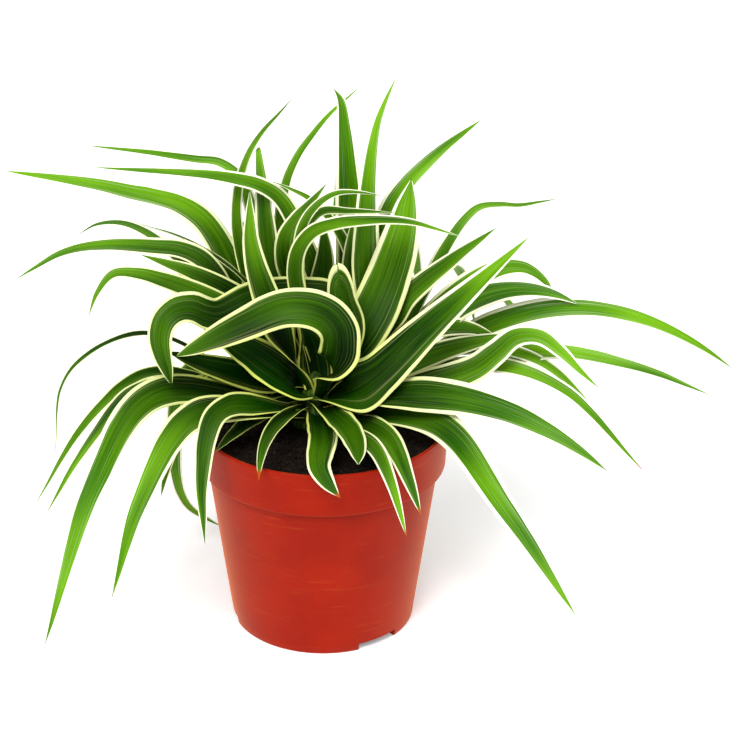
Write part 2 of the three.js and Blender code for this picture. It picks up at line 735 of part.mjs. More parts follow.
function settle(leaves) {
  const order = new Map();
  for (let round = 0; round < SETTLE_ROUNDS; round++) {
    drawnOrder(leaves, order);
    const nearer = leaves.map((leaf) => new Array(leaf.moved.length).fill(0));
    const farther = leaves.map((leaf) => new Array(leaf.moved.length).fill(0));
    eachMeeting(sightGrid(leaves), (i, a, j, b) => {
      const ahead = order.get(pairKey(i, j)) ?? 1;
      const clear = ahead > 0 ? b.near - a.far : a.near - b.far;
      const lack = a.spare + b.spare - clear;
      if (lack <= 0 || lack > NEAR_RANGE) {
        return;
      }
      const freeA = leaves[i].freedom(a.station);
      const freeB = leaves[j].freedom(b.station);
      const share = freeA + freeB > 0 ? freeA / (freeA + freeB) : 0;
      const front = ahead > 0 ? [i, a, share] : [j, b, 1 - share];
      const behind = ahead > 0 ? [j, b, 1 - share] : [i, a, share];
      for (const step of [0, 1]) {
        const f = Math.floor(front[1].station) + step;
        nearer[front[0]][f] = Math.max(nearer[front[0]][f], lack * front[2]);
        const g = Math.floor(behind[1].station) + step;
        farther[behind[0]][g] = Math.max(farther[behind[0]][g], lack * behind[2]);
      }
    });
    leaves.forEach((leaf, index) => {
      leaf.moved.forEach((moved, k) => {
        const push = (farther[index][k] - nearer[index][k]) * leaf.freedom(k);
        moved.addScaledVector(SIGHT, SETTLE_SHARE * push);
      });
      for (const frame of leaf.frames()) {
        const k = Math.round(frame.t * leaf.segments);
        const halfWidth = leaf.halfWidth(frame.t);
        for (const across of [-1, 0, 1]) {
          const edge = Leaf.bladePoint(frame, halfWidth, leaf.fold(frame.t), across, 0);
          const push = clearOfPot(edge, POT_MARGIN);
          leaf.moved[k].addScaledVector(push, SETTLE_SHARE * leaf.freedom(k));
        }
      }
      const evened = leaf.moved.map((moved, k) => {
        const before = leaf.moved[Math.max(k - 1, 0)];
        const after = leaf.moved[Math.min(k + 1, leaf.segments)];
        return before.clone().add(after).multiplyScalar(0.5);
      });
      leaf.moved.forEach((moved, k) => {
        moved.lerp(evened[k], EVEN_SHARE * leaf.freedom(k));
        moved.clampLength(0, FOOT_SLACK + STATION_SLACK * k);
      });
    });
  }
}

function material(color, roughness) {
  return new THREE.MeshStandardMaterial({ color, roughness, metalness: 0 });
}

function piece(name, geometry, look) {
  const mesh = new THREE.Mesh(geometry, look);
  mesh.name = name;
  return mesh;
}

function buildPlant() {
  const group = new THREE.Group();
  const terracotta = material(0xb03018, 0.45);
  const earth = material(0x15100c, 0.95);
  const sheath = material(0xa9c26a, 0.6);
  const green = material(0x3c8a14, 0.45);
  group.add(piece("pot", potGeometry(), terracotta));
  group.add(piece("soil", soilGeometry(), earth));
  const leaves = Object.entries(LEAVES).flatMap(([kind, rows]) => (
    rows.map((row, index) => new Leaf(`${kind}_${index + 1}`, row))
  ));
  seatLeaves(leaves);
  settle(leaves);
  for (const leaf of leaves) {
    leaf.firm = true;
  }
  const inner = INNER_LEAVES.map((row, index) => new Leaf(`inner_${index + 1}`, row, true));
  for (const leaf of inner) {
    leaf.seat(INNER_SEAT_SHARE * CROWNS[leaf.crown].rise, INNER_SEAT_DEPTH);
  }
  const grown = [...leaves, ...inner];
  settle(grown);
  for (const name of Object.keys(CROWNS)) {
    group.add(piece(`crown_${name}`, crownGeometry(name, grown), sheath));
  }
  for (const leaf of leaves) {
    group.add(piece(leaf.name, leaf.geometry(), green));
  }
  return group;
}

export default buildPlant();
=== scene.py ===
"""A spider plant with cream-edged leaves in a terracotta-red nursery pot, dressed round its CAD frame.

Every leaf of the frame is rebuilt as a finer blade along the same midrib and edges. The pot, the soil and
the crowns are rebuilt by the same rules as their solids. Lengths are in metres unless a name says mm.
"""

import logging
import math
from dataclasses import dataclass, field
from enum import Enum
from functools import partial

import bpy
import numpy as np
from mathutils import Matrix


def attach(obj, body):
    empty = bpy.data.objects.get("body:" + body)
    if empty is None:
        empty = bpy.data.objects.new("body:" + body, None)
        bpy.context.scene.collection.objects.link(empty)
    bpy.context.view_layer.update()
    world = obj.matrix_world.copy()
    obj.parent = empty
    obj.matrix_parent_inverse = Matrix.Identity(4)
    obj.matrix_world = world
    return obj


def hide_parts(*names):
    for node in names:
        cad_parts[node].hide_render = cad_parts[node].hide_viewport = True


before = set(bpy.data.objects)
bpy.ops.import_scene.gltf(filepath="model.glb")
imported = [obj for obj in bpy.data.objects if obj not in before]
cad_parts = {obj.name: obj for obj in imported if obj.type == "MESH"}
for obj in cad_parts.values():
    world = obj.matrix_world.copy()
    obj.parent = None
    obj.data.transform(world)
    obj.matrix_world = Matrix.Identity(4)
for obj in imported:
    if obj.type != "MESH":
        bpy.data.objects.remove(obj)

logging.basicConfig(level=logging.INFO, format="%(levelname)s %(message)s")
log = logging.getLogger("spider_plant")

MM = 0.001
UP = np.array([0.0, 0.0, 1.0])

# The photo looks down on the plant at 25.4 degrees, so this points to its viewer
VIEWER = np.array([0.0, -math.cos(math.radians(25.4)), math.sin(math.radians(25.4))])

# Shape of a leaf along its length, as the solids have it: shares of the length and of the width
STATIONS = 12
INWARD_LEAN = 0.2
TURNS_BY = 0.45
WIDENS_BY = 0.35
FLATTENS_BY = 0.4
FOOT_SHARE = 0.36
TIP_POWER = 0.9
FOOT_FOLD_DEG = 20.0
BLADE_FOLD_DEG = 12.0


class Slot(Enum):
    """Names of the material slots."""

    POT = "terracotta_plastic"
    SOIL = "potting_soil"
    SHEATH = "leaf_sheath"
    BLADE = "leaf_blade"


class Kind(Enum):
    """The shader nodes that the finishes are made of.

    A mix of colours takes its share at input 0 and the colours at 6 and 7, and gives the mix at output 2.
    A range takes a value at input 0, spans it from inputs 1 and 2 to inputs 3 and 4, and holds it there.
    """

    ATTRIBUTE = "ShaderNodeAttribute"
    BUMP = "ShaderNodeBump"
    COORDINATES = "ShaderNodeTexCoord"
    MATH = "ShaderNodeMath"
    MIX = "ShaderNodeMix"
    NOISE = "ShaderNodeTexNoise"
    RAMP = "ShaderNodeValToRGB"
    RANGE = "ShaderNodeMapRange"
    SEPARATE = "ShaderNodeSeparateXYZ"
    VECTOR_MATH = "ShaderNodeVectorMath"
    VORONOI = "ShaderNodeTexVoronoi"


def linear(hex_colour: str) -> tuple[float, float, float, float]:
    """Turns an sRGB hex colour to linear RGBA.

    Args:
        hex_colour: Six hex digits, such as "3C8A0A".

    Returns:
        Linear red, green, blue and an alpha of 1.
    """
    share = np.array([int(hex_colour[i:i + 2], 16) for i in (0, 2, 4)]) / 255
    value = np.where(share <= 0.04045, share / 12.92, ((share + 0.055) / 1.055) ** 2.4)
    return (*value.tolist(), 1.0)


def smooth(x: np.ndarray, low: float = 0.0, high: float = 1.0) -> np.ndarray:
    """Smoothstep: 3t^2 - 2t^3 of how far x is from low to high, held between 0 and 1."""
    t = np.clip((x - low) / (high - low), 0, 1)
    return t * t * (3 - 2 * t)


def unit(vectors: np.ndarray) -> np.ndarray:
    """Rows scaled to length one."""
    return vectors / np.maximum(np.linalg.norm(vectors, axis=-1, keepdims=True), 1e-12)


def mesh_object(
    name: str, points: np.ndarray, faces: list, smooth_angle: float | None = None,
) -> bpy.types.Object:
    """Makes an object at the origin from points and faces.

    Args:
        name: The piece's name.
        points: n x 3 places in metres.
        faces: Integer arrays, each k x 3 or k x 4, of corners in outward order.
        smooth_angle: Edges sharper than this many degrees stay sharp; none are where it is None.

    Returns:
        The new object, linked to the scene.
    """
    mesh = bpy.data.meshes.new(name)
    rows = [row for block in faces for row in np.asarray(block).tolist()]
    mesh.from_pydata(points.tolist(), [], rows)
    mesh.polygons.foreach_set("use_smooth", np.ones(len(mesh.polygons), bool))
    if smooth_angle is not None:
        mesh.set_sharp_from_angle(angle=math.radians(smooth_angle))
    mesh.update()
    piece = bpy.data.objects.new(name, mesh)
    bpy.context.scene.collection.objects.link(piece)
    return piece


def set_attribute(piece: bpy.types.Object, name: str, values: np.ndarray) -> None:
    """Writes an n x 3 vector attribute, one row per point."""
    layer = piece.data.attributes.new(name, "FLOAT_VECTOR", "POINT")
    layer.data.foreach_set("vector", np.ascontiguousarray(values, np.float32).ravel())


def feed(tree: bpy.types.NodeTree, node: bpy.types.Node, inputs: dict) -> None:
    """Links a node's inputs, by name or index, to the sockets given for them, or sets them to constants."""
    for key, value in inputs.items():
        if isinstance(value, bpy.types.NodeSocket):
            tree.links.new(value, node.inputs[key])
        else:
            node.inputs[key].default_value = value


def add_node(
    tree: bpy.types.NodeTree, kind: Kind, inputs: dict | None = None, output: int | str = 0, **settings,
) -> bpy.types.NodeSocket:
    """Adds a shader node with its settings and links.

    Args:
        tree: The material's node tree.
        kind: Which node.
        inputs: Input name or index to a constant or to an output socket that feeds it.
        output: Name or index of the output that is wanted.
        settings: Properties of the node itself.

    Returns:
        The wanted output of the new node.
    """
    node = tree.nodes.new(kind.value)
    for key, value in settings.items():
        setattr(node, key, value)
    feed(tree, node, inputs or {})
    return node.outputs[output]


def new_material(name: str) -> tuple[bpy.types.Material, bpy.types.NodeTree, bpy.types.Node]:
    """A new material, its node tree and its surface shader."""
    material = bpy.data.materials.new(name)
    material.use_nodes = True
    return material, material.node_tree, material.node_tree.nodes["Principled BSDF"]


def set_stops(ramp: bpy.types.NodeSocket, stops: tuple) -> None:
    """Gives the colour ramp that an output belongs to its (position, hex colour) stops."""
    elements = ramp.node.color_ramp.elements
    while len(elements) < len(stops):
        elements.new(0.5)
    for element, (position, colour) in zip(elements, stops):
        element.position = position
        element.color = linear(colour)


@dataclass(frozen=True)
class BladeGrain:
    """Noise drawn out along a leaf, read from the blade attribute.

    It changes so often over half the width, once every so many millimetres along, and two leaves whose
    numbers follow each other lie the leaf step apart in it.
    """

    across: float
    length_mm: float
    leaf_step: float
    detail: float = 1.0
    roughness: float = 0.5

    def over(self, tree: bpy.types.NodeTree, blade: bpy.types.NodeSocket) -> bpy.types.NodeSocket:
        """The noise, from 0 to 1, at the places that the blade attribute gives."""
        scale = (self.across, 1 / self.length_mm, self.leaf_step)
        place = add_node(tree, Kind.VECTOR_MATH, {0: blade, 1: scale}, operation="MULTIPLY")
        return add_node(tree, Kind.NOISE, {
            "Vector": place, "Scale": 1.0, "Detail": self.detail, "Roughness": self.roughness,
        })


@dataclass(frozen=True)
class VariegatedLeaf:
    """Living spider plant leaf: a satin cuticle over green tissue, with cream margins that have no green.

    To the eye: fine lengthwise streaks of lighter and deeper green, stretches of a leaf that are limer or
    deeper than the rest, a crisp but slightly wandering cream edge with thin cream lines inside it, and
    some tips dried to orange-brown. Over this, shade is painted into the plant's heart as deeper green and
    yellow-green cream, and light onto its outside as limer green and whiter cream. The blade attribute holds
    how far across (-1 to 1), how far along in millimetres, and the leaf's own number. The
    painted_light_and_dryness attribute holds the painted light, from 0 in the heart to 1 at the outside, and
    how dry the tip is, from 0 to 1.
    """

    # Colours: two pairs of greens, the deep pair for painted shade in the plant's heart and the lit pair for
    # painted light at its outside, then cream margins with shaded_cream as their painted shade, and dried
    # tips;
    # the power keeps lit_green to the plant's very outside
    deep: str = "021000"
    green: str = "083A00"
    lit_green: str = "386C02"
    lime: str = "72AC0A"
    cream: str = "FFFDE6"
    shaded_cream: str = "C4CF5C"
    dry: str = "A5521A"
    painted_outer_light_power: float = 3.0

    # Streaks and patches, and how far each moves the tissue from the deeper green of a pair to the limer
    streaks: BladeGrain = BladeGrain(9.0, 45.0, 7.3, detail=3.0, roughness=0.62)
    streak_range: tuple[float, float] = (0.34, 0.74)
    streak_share: float = 0.42
    patches: BladeGrain = BladeGrain(0.5, 55.0, 5.7)
    patch_range: tuple[float, float] = (0.3, 0.7)
    patch_share: float = 0.85

    # Margins: where across the blade they start, and by how much that shifts with the wandering, with the
    # streaks and with the painted light, so that they are narrower in the painted shade of the heart
    margin: float = 0.86
    wander: BladeGrain = BladeGrain(1.1, 30.0, 3.1, detail=2.0)
    margin_wander: float = 0.16
    margin_fray: float = 0.16
    heart_narrowing: float = 0.14
    margin_blur: tuple[float, float] = (-0.015, 0.02)

    # Thin cream lines: their least strength, what the margin and the painted light add to it, and how far
    # across the margin's part reaches
    lines: BladeGrain = BladeGrain(21.0, 70.0, 11.3)
    line_range: tuple[float, float] = (0.56, 0.74)
    line_strength: float = 0.03
    line_by_margin: float = 0.34
    line_in_light: float = 0.08
    line_reach: float = 0.5

    # Relief: veins over the whole width, and the midrib's groove
    veins: float = 26.0
    vein_height: float = 0.5
    groove_half_width: float = 0.09
    groove_depth: float = 2.5
    relief_mm: float = 0.12
    roughness: tuple[float, float] = (0.36, 0.52)

    def make(self, name: str) -> bpy.types.Material:
        """Builds the node tree.

        Args:
            name: The material's name.

        Returns:
            The finished material.
        """
        material, tree, shader = new_material(name)
        add = partial(add_node, tree)
        blade = add(Kind.ATTRIBUTE, output="Vector", attribute_name="blade")
        across = add(Kind.SEPARATE, {0: blade})
        side = add(Kind.MATH, {0: across}, operation="ABSOLUTE")
        # Painted light and shade: the first value, 0 in the plant's heart and 1 at its outside; the second
        # is the tip's dryness
        light = add(Kind.SEPARATE, {0: add(Kind.ATTRIBUTE, output="Vector", attribute_name="painted_light_and_dryness")})
        dryness = light.node.outputs[1]
        # The painted light to a power, near 1 only at the plant's very outside
        painted_outer_light = add(Kind.MATH, {0: light, 1: self.painted_outer_light_power}, operation="POWER")
        streak = self.streaks.over(tree, blade)

        tissue = self.tissue(tree, blade, light, painted_outer_light, streak)
        beyond = self.beyond_margin(tree, blade, side, light, streak)
        # Margin cream: shaded to yellow-green as painted shade in the heart, full cream as painted light
        # outside
        edge = add(Kind.MIX, {0: light, 6: linear(self.shaded_cream), 7: linear(self.cream)},
                   output=2, data_type="RGBA")
        lined = add(Kind.MIX, {0: self.lined(tree, blade, beyond, painted_outer_light), 6: tissue, 7: edge},
                    output=2, data_type="RGBA")
        blur_from, blur_to = self.margin_blur
        edged = add(Kind.MIX, {
            0: add(Kind.RANGE, {0: beyond, 1: blur_from, 2: blur_to}), 6: lined, 7: edge,
        }, output=2, data_type="RGBA")
        colour = add(Kind.MIX, {0: dryness, 6: edged, 7: linear(self.dry)}, output=2, data_type="RGBA")
        feed(tree, shader, {
            "Base Color": colour,
            "Normal": self.relief(tree, across, side),
            "Roughness": add(Kind.RANGE, {0: streak, 3: self.roughness[0], 4: self.roughness[1]}),
            "Specular IOR Level": 0.045,
            "Subsurface Weight": 0.05,
            "Subsurface Radius": (0.6, 1.0, 0.25),
            "Subsurface Scale": 1.5 * MM,
        })
        return material

    def tissue(
        self, tree: bpy.types.NodeTree, blade: bpy.types.NodeSocket, light: bpy.types.NodeSocket,
        painted_outer_light: bpy.types.NodeSocket, streak: bpy.types.NodeSocket,
    ) -> bpy.types.NodeSocket:
        """The tissue's green: deep as painted shade in the plant's heart, lime as painted light at its
        outside, streaked and patchy.

        Args:
            tree: The material's node tree.
            blade: The blade attribute.
            light: Painted light, from 0 in the heart's painted shade to 1 at the outside.
            painted_outer_light: The same painted light, only near 1 at the plant's outside.
            streak: The streaks' noise.

        Returns:
            The green.
        """
        add = partial(add_node, tree)
        deeper = add(Kind.MIX, {0: light, 6: linear(self.deep), 7: linear(self.green)},
                     output=2, data_type="RGBA")
        deeper = add(Kind.MIX, {0: painted_outer_light, 6: deeper, 7: linear(self.lit_green)},
                     output=2, data_type="RGBA")
        limer = add(Kind.MIX, {0: light, 6: linear(self.green), 7: linear(self.lime)},
                    output=2, data_type="RGBA")
        contrast = add(Kind.RANGE, {0: streak, 1: self.streak_range[0], 2: self.streak_range[1]})
        patch = add(Kind.RANGE, {
            0: self.patches.over(tree, blade), 1: self.patch_range[0], 2: self.patch_range[1],
        })
        share = add(Kind.MATH, {0: contrast, 1: self.streak_share, 2: -0.5 * self.streak_share},
                    operation="MULTIPLY_ADD")
        share = add(Kind.MATH, {0: patch, 1: self.patch_share, 2: share}, operation="MULTIPLY_ADD")
        return add(Kind.MIX, {0: share, 6: deeper, 7: limer}, output=2, data_type="RGBA")

    def beyond_margin(
        self, tree: bpy.types.NodeTree, blade: bpy.types.NodeSocket, side: bpy.types.NodeSocket,
        light: bpy.types.NodeSocket, streak: bpy.types.NodeSocket,
    ) -> bpy.types.NodeSocket:
        """How far a place lies beyond the margin's inner line, in half widths: below 0 is green tissue.

        Args:
            tree: The material's node tree.
            blade: The blade attribute.
            side: How far from the midrib the place is, in half widths.
            light: Painted light, from 0 in the heart's painted shade to 1 at the outside.
            streak: The streaks' noise.

        Returns:
            The distance.
        """
        add = partial(add_node, tree)
        least = self.margin - 0.5 * self.margin_wander - 0.5 * self.margin_fray
        start = add(Kind.MATH, {0: self.wander.over(tree, blade), 1: self.margin_wander, 2: least},
                    operation="MULTIPLY_ADD")
        start = add(Kind.MATH, {0: streak, 1: self.margin_fray, 2: start}, operation="MULTIPLY_ADD")
        start = add(Kind.MATH, {0: light, 1: -self.heart_narrowing, 2: start}, operation="MULTIPLY_ADD")
        return add(Kind.MATH, {0: side, 1: start}, operation="SUBTRACT")

    def lined(
        self, tree: bpy.types.NodeTree, blade: bpy.types.NodeSocket, beyond: bpy.types.NodeSocket,
        painted_outer_light: bpy.types.NodeSocket,
    ) -> bpy.types.NodeSocket:
        """How much of the thin cream lines shows.

        Args:
            tree: The material's node tree.
            blade: The blade attribute.
            beyond: How far a place lies beyond the margin's inner line.
            painted_outer_light: The painted light, only near 1 at the plant's outside.

        Returns:
            The cream's share.
        """
        add = partial(add_node, tree)
        line = add(Kind.RANGE, {
            0: self.lines.over(tree, blade), 1: self.line_range[0], 2: self.line_range[1],
        })
        near_margin = add(Kind.RANGE, {0: beyond, 1: -self.line_reach, 2: 0.0})
        strength = add(Kind.MATH, {0: near_margin, 1: self.line_by_margin, 2: self.line_strength},
                       operation="MULTIPLY_ADD")
        strength = add(Kind.MATH, {0: painted_outer_light, 1: self.line_in_light, 2: strength},
                       operation="MULTIPLY_ADD")
        return add(Kind.MATH, {0: line, 1: strength}, operation="MULTIPLY")

    def relief(
        self, tree: bpy.types.NodeTree, across: bpy.types.NodeSocket, side: bpy.types.NodeSocket,
    ) -> bpy.types.NodeSocket:
        """The normal over lengthwise veins, a sine wave across the blade, and a groove along the midrib.

        Args:
            tree: The material's node tree.
            across: How far across the place is, from -1 to 1.
            side: The same without its sign.

        Returns:
            The normal.
        """
        add = partial(add_node, tree)
        wave = add(Kind.MATH, {0: across, 1: self.veins * math.pi}, operation="MULTIPLY")
        ridges = add(Kind.MATH, {0: wave}, operation="SINE")
        groove = add(Kind.RANGE, {0: side, 1: 0.0, 2: self.groove_half_width, 3: -self.groove_depth, 4: 0.0})
        height = add(Kind.MATH, {0: ridges, 1: self.vein_height, 2: groove}, operation="MULTIPLY_ADD")
        return add(Kind.BUMP, {"Height": height, "Strength": 0.35, "Distance": self.relief_mm * MM})


@dataclass(frozen=True)
class MouldedTerracottaPlastic:
    """Injection-moulded polypropylene in terracotta red, as nursery pots are.

    To the eye: an even satin red with faint cloudiness from the melt, a dusting of dry soil in specks of
    about 0.4 mm, and fine scuffs that run round the wall. Each is a noise of a real size, cut off at a
    range, and the dust's colour shows by at most a share of it.
    """

    red: str = "961700"
    deep_red: str = "8A1200"
    dust: str = "C8682C"
    sheen_tint: str = "FF9A5A"
    cloud_mm: float = 28.0
    cloud_range: tuple[float, float] = (0.35, 0.65)
    grain_mm: float = 0.4
    speck_range: tuple[float, float] = (0.62, 0.75)
    speck_share: float = 0.35
    scuff_mm: tuple[float, float, float] = (30.0, 30.0, 2.0)
    scuff_range: tuple[float, float] = (0.58, 0.8)
    scuff_share: float = 0.3
    relief_mm: float = 0.08
    roughness: tuple[float, float] = (0.36, 0.54)

    def make(self, name: str) -> bpy.types.Material:
        """Builds the node tree.

        Args:
            name: The material's name.

        Returns:
            The finished material.
        """
        material, tree, shader = new_material(name)
        add = partial(add_node, tree)
        place = add(Kind.COORDINATES, output="Object")
        cloud = add(Kind.NOISE, {"Vector": place, "Scale": 1 / (self.cloud_mm * MM), "Detail": 4.0})
        grain = add(Kind.NOISE, {"Vector": place, "Scale": 1 / (self.grain_mm * MM), "Detail": 2.0})
        scuff_scale = tuple(1 / (size * MM) for size in self.scuff_mm)
        scuffs = add(Kind.NOISE, {
            "Vector": add(Kind.VECTOR_MATH, {0: place, 1: scuff_scale}, operation="MULTIPLY"),
            "Scale": 1.0, "Detail": 5.0, "Roughness": 0.7,
        })
        (cloud_from, cloud_to), (speck_from, speck_to) = self.cloud_range, self.speck_range
        scuff_from, scuff_to = self.scuff_range
        clouded = add(Kind.RANGE, {0: cloud, 1: cloud_from, 2: cloud_to})
        body = add(Kind.MIX, {0: clouded, 6: linear(self.deep_red), 7: linear(self.red)},
                   output=2, data_type="RGBA")
        specks = add(Kind.RANGE, {0: grain, 1: speck_from, 2: speck_to, 3: 0.0, 4: self.speck_share})
        marks = add(Kind.RANGE, {0: scuffs, 1: scuff_from, 2: scuff_to, 3: 0.0, 4: self.scuff_share})
        dust = add(Kind.MATH, {0: specks, 1: cloud}, operation="MULTIPLY")
        dusting = add(Kind.MATH, {0: dust, 1: marks}, operation="MAXIMUM")
        feed(tree, shader, {
            "Base Color": add(Kind.MIX, {0: dusting, 6: body, 7: linear(self.dust)},
                              output=2, data_type="RGBA"),
            "Normal": add(Kind.BUMP, {
                "Height": grain, "Strength": 0.18, "Distance": self.relief_mm * MM,
            }),
            "Roughness": add(Kind.RANGE, {0: cloud, 3: self.roughness[0], 4: self.roughness[1]}),
            "IOR": 1.49,
            "Specular IOR Level": 0.08,
            "Sheen Weight": 0.7,
            "Sheen Roughness": 0.35,
            "Sheen Tint": linear(self.sheen_tint),
        })
        return material


@dataclass(frozen=True)
class MoistPottingMix:
    """Moist peat and bark: near black and crumbly, with browner fibres. Its crumbs are about 2 mm."""

    dark: str = "080605"
    brown: str = "20160F"
    fibre: str = "4A3524"
    crumb_mm: float = 2.2
    relief_mm: float = 0.8

    def make(self, name: str) -> bpy.types.Material:
        """Builds the node tree.

        Args:
            name: The material's name.

        Returns:
            The finished material.
        """
        material, tree, shader = new_material(name)
        add = partial(add_node, tree)
        place = add(Kind.COORDINATES, output="Object")
        scale = 1 / (self.crumb_mm * MM)
        crumbs = add(Kind.NOISE, {"Vector": place, "Scale": scale, "Detail": 6.0, "Roughness": 0.7})
        cells = add(Kind.VORONOI, {"Vector": place, "Scale": scale}, output="Distance")
        colour = add(Kind.RAMP, {"Fac": crumbs})
        set_stops(colour, ((0.35, self.dark), (0.6, self.brown), (0.82, self.fibre)))
        height = add(Kind.MATH, {0: cells, 1: 0.6, 2: crumbs}, operation="MULTIPLY_ADD")
        feed(tree, shader, {
            "Base Color": colour,
            "Normal": add(Kind.BUMP, {"Height": height, "Strength": 0.9, "Distance": self.relief_mm * MM}),
            "Roughness": 0.85,
            "Specular IOR Level": 0.12,
        })
        return material


@dataclass(frozen=True)
class LeafSheath:
    """Packed leaf bases: ribbed upwards, satin and a little damp, in greens from near black to mid, darkened
    as painted shade of the plant's heart.
    """

    pale: str = "4A6A1C"
    deep: str = "0C1C04"
    rib_mm: tuple[float, float, float] = (1.6, 1.6, 25.6)
    relief_mm: float = 0.4

    def make(self, name: str) -> bpy.types.Material:
        """Builds the node tree.

        Args:
            name: The material's name.

        Returns:
            The finished material.
        """
        material, tree, shader = new_material(name)
        add = partial(add_node, tree)
        rib_scale = tuple(1 / (size * MM) for size in self.rib_mm)
        ribs = add(Kind.NOISE, {
            "Vector": add(Kind.VECTOR_MATH, {
                0: add(Kind.COORDINATES, output="Object"), 1: rib_scale,
            }, operation="MULTIPLY"),
            "Scale": 1.0, "Detail": 3.0,
        })
        colour = add(Kind.RAMP, {"Fac": ribs})
        set_stops(colour, ((0.35, self.deep), (0.7, self.pale)))
        feed(tree, shader, {
            "Base Color": colour,
            "Normal": add(Kind.BUMP, {"Height": ribs, "Strength": 0.5, "Distance": self.relief_mm * MM}),
            "Roughness": 0.5,
            "Specular IOR Level": 0.1,
        })
        return material


@dataclass
class Spine:
    """A leaf's stations from foot to tip: midrib, half-width vector, upper direction and gutter depth."""

    mid: np.ndarray
    side: np.ndarray
    upper: np.ndarray
    rise: np.ndarray

    @classmethod
    def from_node(cls, node: str) -> "Spine":
        """Reads the stations back from a leaf's solid, which is rings of six points and an apex.

        Args:
            node: The CAD leaf's name.

        Returns:
            Its stations, the apex last.
        """
        points, joined = welded(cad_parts[node].data)
        ring = ring_numbers(points, joined)
        rails = points[six_rails(ring, joined)]
        apex = points[ring == ring.max()]
        mid, left, right = (
            np.concatenate([0.5 * (rails[:, upper] + rails[:, lower]), apex])
            for upper, lower in ((1, 4), (0, 5), (2, 3))
        )
        upper = unit(rails[:, 1] - rails[:, 4])
        upper = np.concatenate([upper, upper[-1:]])
        lift = np.sum((0.5 * (left + right) - mid) * upper, axis=1)
        if lift.sum() < 0:
            upper = -upper
            lift = -lift
            left, right = right, left
        return cls(mid, 0.5 * (right - left), upper, lift)

    @classmethod
    def from_route(cls, leaf: "InnerLeaf") -> "Spine":
        """Stations of a leaf that is grown together with its crown, by the rule of its solid.

        The midrib is the Catmull-Rom curve through the route. The upper direction starts upright, leaning to
        the crown, is carried along without twist, and turns to the viewer by the leaf's face share. The half
        width is its foot share, rising by smoothstep to one, times (1 - t^taper)^power. The edges rise with
        the tangent of the fold, which flattens by smoothstep.

        Args:
            leaf: The leaf's route and sizes.

        Returns:
            The stations.
        """
        mid = catmull_rom(np.array(leaf.route) * MM, STATIONS)
        share = np.linspace(0, 1, STATIONS)
        along = unit(np.gradient(mid, axis=0))
        outward = unit((mid[1] - mid[0]) * np.array([1.0, 1.0, 0.0]))
        normals = [UP - INWARD_LEAN * outward]
        for last, now in zip(along[:-1], along[1:]):
            bisector, normal = last + now, normals[-1]
            normal = normal - bisector * (bisector @ normal) / (1 + last @ now) + 2 * now * (last @ normal)
            normals.append(normal - now * (now @ normal))
        to_viewer = unit(VIEWER - along * (along @ VIEWER)[:, None])
        turn = (leaf.face * smooth(share, 0, TURNS_BY))[:, None]
        upper = unit((1 - turn) * unit(np.array(normals)) + turn * to_viewer)
        upper = unit(upper - along * np.sum(upper * along, axis=1, keepdims=True))
        foot = FOOT_SHARE + (1 - FOOT_SHARE) * smooth(share, 0, WIDENS_BY)
        half_width = 0.5 * leaf.width * foot * (1 - share ** leaf.taper) ** TIP_POWER
        flattened = smooth(share, 0, FLATTENS_BY)
        fold = np.tan(np.radians(FOOT_FOLD_DEG + (BLADE_FOLD_DEG - FOOT_FOLD_DEG) * flattened))
        return cls(mid, np.cross(along, upper) * half_width[:, None], upper, half_width * fold)

    def resampled(self, rows: int) -> "Spine":
        """The same stations through a Catmull-Rom curve.

        Args:
            rows: How many stations the result has.

        Returns:
            A finer spine, evenly spaced in the station number.
        """
        return Spine(*(catmull_rom(part, rows) for part in (self.mid, self.side, self.upper, self.rise)))


def welded(mesh: bpy.types.Mesh) -> tuple[np.ndarray, np.ndarray]:
    """A loose mesh's distinct places, and a table of which of them an edge joins."""
    places = np.zeros(len(mesh.vertices) * 3)
    mesh.vertices.foreach_get("co", places)
    points, index = np.unique(np.round(places.reshape(-1, 3), 6), axis=0, return_inverse=True)
    corners = np.zeros(len(mesh.loops), int)
    mesh.loops.foreach_get("vertex_index", corners)
    triangles = index.ravel()[corners].reshape(-1, 3)
    joined = np.zeros((len(points), len(points)), bool)
    for first, second in ((0, 1), (1, 2), (2, 0)):
        joined[triangles[:, first], triangles[:, second]] = True
        joined[triangles[:, second], triangles[:, first]] = True
    return points, joined


def steps_from(start: int, joined: np.ndarray) -> np.ndarray:
    """How many edges away from a start each point is, by the table of joined points."""
    steps = np.full(len(joined), -1)
    steps[start] = 0
    while (steps < 0).any():
        steps[(steps < 0) & joined[steps == steps.max()].any(axis=0)] = steps.max() + 1
    return steps


def ring_numbers(points: np.ndarray, joined: np.ndarray) -> np.ndarray:
    """Which ring of its leaf each point belongs to.

    The apex is one of the points from which every step along the edges reaches six more, and of these the
    one that stands furthest off its neighbours. Rings are counted back from it.

    Args:
        points: The leaf's distinct places.
        joined: Which of them an edge joins.

    Returns:
        A number for each point: 0 at the foot, and the highest at the apex.
    """
    steps = [steps_from(start, joined) for start in range(len(points))]
    ends = [start for start, row in enumerate(steps) if (np.bincount(row)[1:] == 6).all()]
    apex = max(ends, key=lambda end: np.linalg.norm(points[joined[end]] - points[end], axis=1).min())
    return steps[apex].max() - steps[apex]


